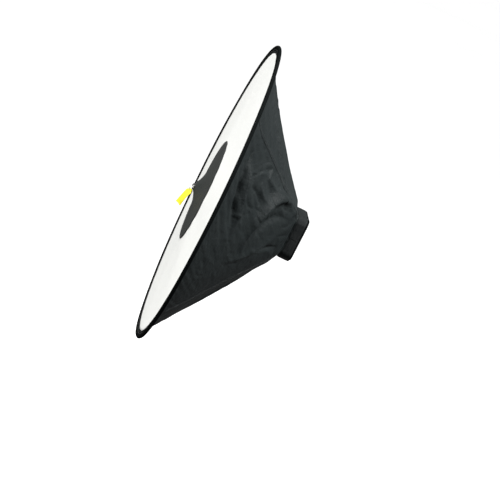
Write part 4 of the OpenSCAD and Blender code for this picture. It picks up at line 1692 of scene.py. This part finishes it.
@dataclass
class PullTab(Assembly):
    """The yellow pull tab: a folded ribbon that hangs edgeways on a loop of pale string."""

    body: str = "tab"
    width: float = 10 * MM
    length: float = 27.5 * MM
    loop: float = 8 * MM
    half_loop: float = 3 * MM
    string: float = 0.55 * MM
    string_tilt: float = math.radians(12)
    ribbon_tilt: float = math.radians(20)
    turned: float = math.radians(36)

    def placed(self, points: Array, tilt: float, knee: float = 0.0) -> Array:
        """Turns points of the hanging tab into forward axes.

        Args:
            points: Points with x across the eye, y up along the tab and z forward.
            tilt: How far the tab leans forward from straight down.
            knee: How far down the string the turn is made.

        Returns:
            The turned points.
        """
        c, s = math.cos(tilt), math.sin(tilt)
        y = (points[..., 1] + knee) * c + points[..., 2] * s - knee * math.cos(self.string_tilt)
        z = -(points[..., 1] + knee) * s + points[..., 2] * c + knee * math.sin(self.string_tilt)
        return np.stack([points[..., 0], y, z + self.sizes.eye], axis=-1)

    def build(self) -> None:
        """Builds the ribbon, its stitching and the loop of string."""
        down = np.linspace(0.0, 1.0, 61)
        across = np.linspace(-1.0, 1.0, 17)
        half = self.width / 2 * (0.42 + 0.58 * smooth(down, 0.0, 0.18))
        wave = 0.9 * np.sin(down * 5.2) * MM - 1.5 * smooth(down, 0.72, 1.0) * MM
        cup = (0.3 + 0.6 * down)[:, None] * (across[None] ** 2) * MM
        twist = (self.turned + math.radians(8) * np.sin(down * math.pi))[:, None]
        drop = -self.loop + 1.5 * MM - down * self.length
        side = wave[:, None] - cup
        reach = half[:, None] * across[None]
        x = side * np.cos(twist) - reach * np.sin(twist)
        z = reach * np.cos(twist) + side * np.sin(twist)
        y = drop[:, None] + 0.35 * MM * np.cos(across * 3.0)[None] * smooth(down, 0.9, 1.0)[:, None]
        thickness = (0.42 * MM + 0.85 * MM * np.exp(-((down - 0.045) / 0.045) ** 2))[:, None]
        near = self.placed(np.stack([x + thickness, y, z], axis=-1), self.ribbon_tilt, self.loop)
        far = self.placed(np.stack([x - thickness, y, z], axis=-1), self.ribbon_tilt, self.loop)
        ribbon = make_shell("tab_ribbon_folded", near, far, cloth_uv(near, False), wrap=False)
        self.place(ribbon, RIBBON, "pull_tab")
        self.sew(near)
        self.thread()

    def sew(self, face: Array) -> None:
        """Stitches across the fold and down both edges of the ribbon.

        Args:
            face: The ribbon's near face, rows by columns by three.
        """
        normals = np.broadcast_to([1.0, 0.0, 0.0], face.shape)
        rows = [(face[12, 2:-2], normals[12, 2:-2])]
        rows += [(face[12:-3, k], normals[12:-3, k]) for k in (2, -3)]
        rows += [(face[-4, 2:-2], normals[-4, 2:-2])]
        self.place(stitch_rows("ribbon_stitches", rows, 2.0 * MM, 0.13 * MM), YELLOW_THREAD)

    def thread(self) -> None:
        """Runs the string through the eye and the ribbon's fold, as one closed round tube.

        The path is a rounded rectangle that turns a quarter turn on its way down. Its section is round.
        """
        path, _ = rounded_path(self.half_loop, self.loop / 2, 1.4 * MM, 160)
        down = path[:, 1] - self.loop / 2
        turn = smooth(-down, 1.5 * MM, self.loop - 1.0 * MM) * math.pi / 2
        flat = np.stack([path[:, 0] * np.cos(turn), down, path[:, 0] * np.sin(turn)], axis=-1)
        line = self.placed(flat, self.string_tilt)
        travel = unit(np.roll(line, -1, axis=0) - np.roll(line, 1, axis=0))
        out = unit(line - line.mean(axis=0))
        axis = unit(np.cross(travel, out))
        out = np.cross(axis, travel)
        ring = np.linspace(0.0, TURN, 12, endpoint=False)
        profile = self.string * np.stack([np.cos(ring), -np.sin(ring)], axis=-1)
        piece = sweep_ring("tab_string", line, out, axis, profile, np.zeros((len(line), 12, 2)))
        self.place(piece, STRING, "tab_loop")


# ---------------------------------------------------------------------------------------------
# Studio
# ---------------------------------------------------------------------------------------------


@dataclass(frozen=True)
class Lamp:
    """One soft box of studio light."""

    name: str
    place: tuple[float, float, float]
    size: float
    power: float
    aim: tuple[float, float, float] = (0.0, -0.08, 0.0)

    def build(self) -> None:
        """Hangs the light and turns it to its aim."""
        light = bpy.data.lights.new(self.name, "AREA")
        light.shape = "SQUARE"
        light.size = self.size
        light.energy = self.power
        lamp = bpy.data.objects.new(self.name, light)
        lamp.location = self.place
        lamp.rotation_mode = "QUATERNION"
        lamp.rotation_quaternion = (Vector(self.aim) - Vector(self.place)).to_track_quat("-Z", "Y")
        bpy.context.scene.collection.objects.link(lamp)


@dataclass
class Studio:
    """A plain white room: a pale floor, an even white surround, soft lights and the camera."""

    wardrobe: Wardrobe
    azimuth: float = 83.0
    elevation: float = 10.7
    roll: float = -27.06
    distance: float = 3.2
    lens: float = 165.5
    offset: tuple[float, float] = (-5.4 * MM, -45.7 * MM)
    fill: float = 0.16

    def build(self) -> None:
        """Sets up the room, the lights and the camera."""
        scene = bpy.context.scene
        scene.view_settings.view_transform = "Standard"
        world = bpy.data.worlds.new("white_surround")
        world.use_nodes = True
        background = world.node_tree.nodes["Background"]
        background.inputs["Color"].default_value = (1.0, 1.0, 1.0, 1.0)
        nodes = Nodes(world.node_tree)
        seen = nodes.add("ShaderNodeLightPath").outputs["Is Camera Ray"]
        strength = nodes.maths("MULTIPLY_ADD", seen, 1.0 - self.fill, self.fill)
        world.node_tree.links.new(strength, background.inputs["Strength"])
        scene.world = world
        self.floor()
        for lamp in LAMPS:
            lamp.build()
        self.skylight()
        self.camera()

    def floor(self) -> None:
        """Lays a wide pale floor under the softbox, which throws no light back up at it."""
        ring = np.geomspace(0.4, 60.0, 20)[:, None]
        angle = np.linspace(0.0, TURN, 64, endpoint=False)[None]
        ring, angle = np.broadcast_arrays(ring, angle)
        points = np.stack([ring * np.cos(angle), ring * np.sin(angle), np.full_like(ring, -0.62)], axis=-1)
        middle = np.repeat(np.array([[[0.0, 0.0, -0.62]]]), 64, axis=1)
        grid = np.concatenate([middle, points])
        floor = make_piece("studio_floor", grid.reshape(-1, 3), grid_faces(21, 64, True, flip=True))
        self.wardrobe.dress(FLOOR, floor)
        floor.visible_diffuse = False
        floor.visible_glossy = False

    def skylight(self) -> None:
        """Hangs one wide light far above and in front, which whitens the floor evenly."""
        light = bpy.data.lights.new("skylight", "SUN")
        light.energy = 3.6
        light.angle = math.radians(50)
        lamp = bpy.data.objects.new("skylight", light)
        lamp.rotation_mode = "QUATERNION"
        lamp.rotation_quaternion = Vector((0.0, 0.42, -0.91)).to_track_quat("-Z", "Y")
        bpy.context.scene.collection.objects.link(lamp)

    def camera(self) -> None:
        """Places the camera by its direction from the softbox, its roll and its distance."""
        a, e, r = (math.radians(x) for x in (self.azimuth, self.elevation, self.roll))
        back = Vector((math.sin(a) * math.cos(e), -math.cos(a) * math.cos(e), math.sin(e)))
        right = Vector((math.cos(a), math.sin(a), 0.0))
        up = back.cross(right)
        side = right * math.cos(r) + up * math.sin(r) * -1.0
        top = up * math.cos(r) + right * math.sin(r)
        aim = Vector((0.0, -0.07, 0.0)) + side * self.offset[0] + top * self.offset[1]
        camera = bpy.data.objects.new("camera", bpy.data.cameras.new("camera"))
        camera.data.sensor_width = 36.0
        camera.data.lens = self.lens
        turn = Matrix((side, top, back)).transposed().to_4x4()
        camera.matrix_world = Matrix.Translation(aim + back * self.distance) @ turn
        bpy.context.scene.collection.objects.link(camera)
        bpy.context.scene.camera = camera


LAMPS = [
    Lamp("overhead", (0.6, 1.1, 1.8), 0.7, 120.0),
    Lamp("front_wash", (1.7, -2.5, 0.8), 1.8, 66.0),
    Lamp("camera_side", (2.6, -1.5, 0.5), 0.8, 14.0),
]


def main() -> None:
    """Builds the softbox's sub-assemblies in order, then the studio."""
    logging.basicConfig(level=logging.INFO, format="%(name)s: %(message)s")
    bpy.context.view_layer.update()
    sizes = Sizes.measured()
    wardrobe = Wardrobe()
    for assembly in (Rim, Cone, Front, Neck, Hub, PullTab):
        assembly(sizes, wardrobe).build()
    Studio(wardrobe).build()


if __name__ == "__main__":
    main()
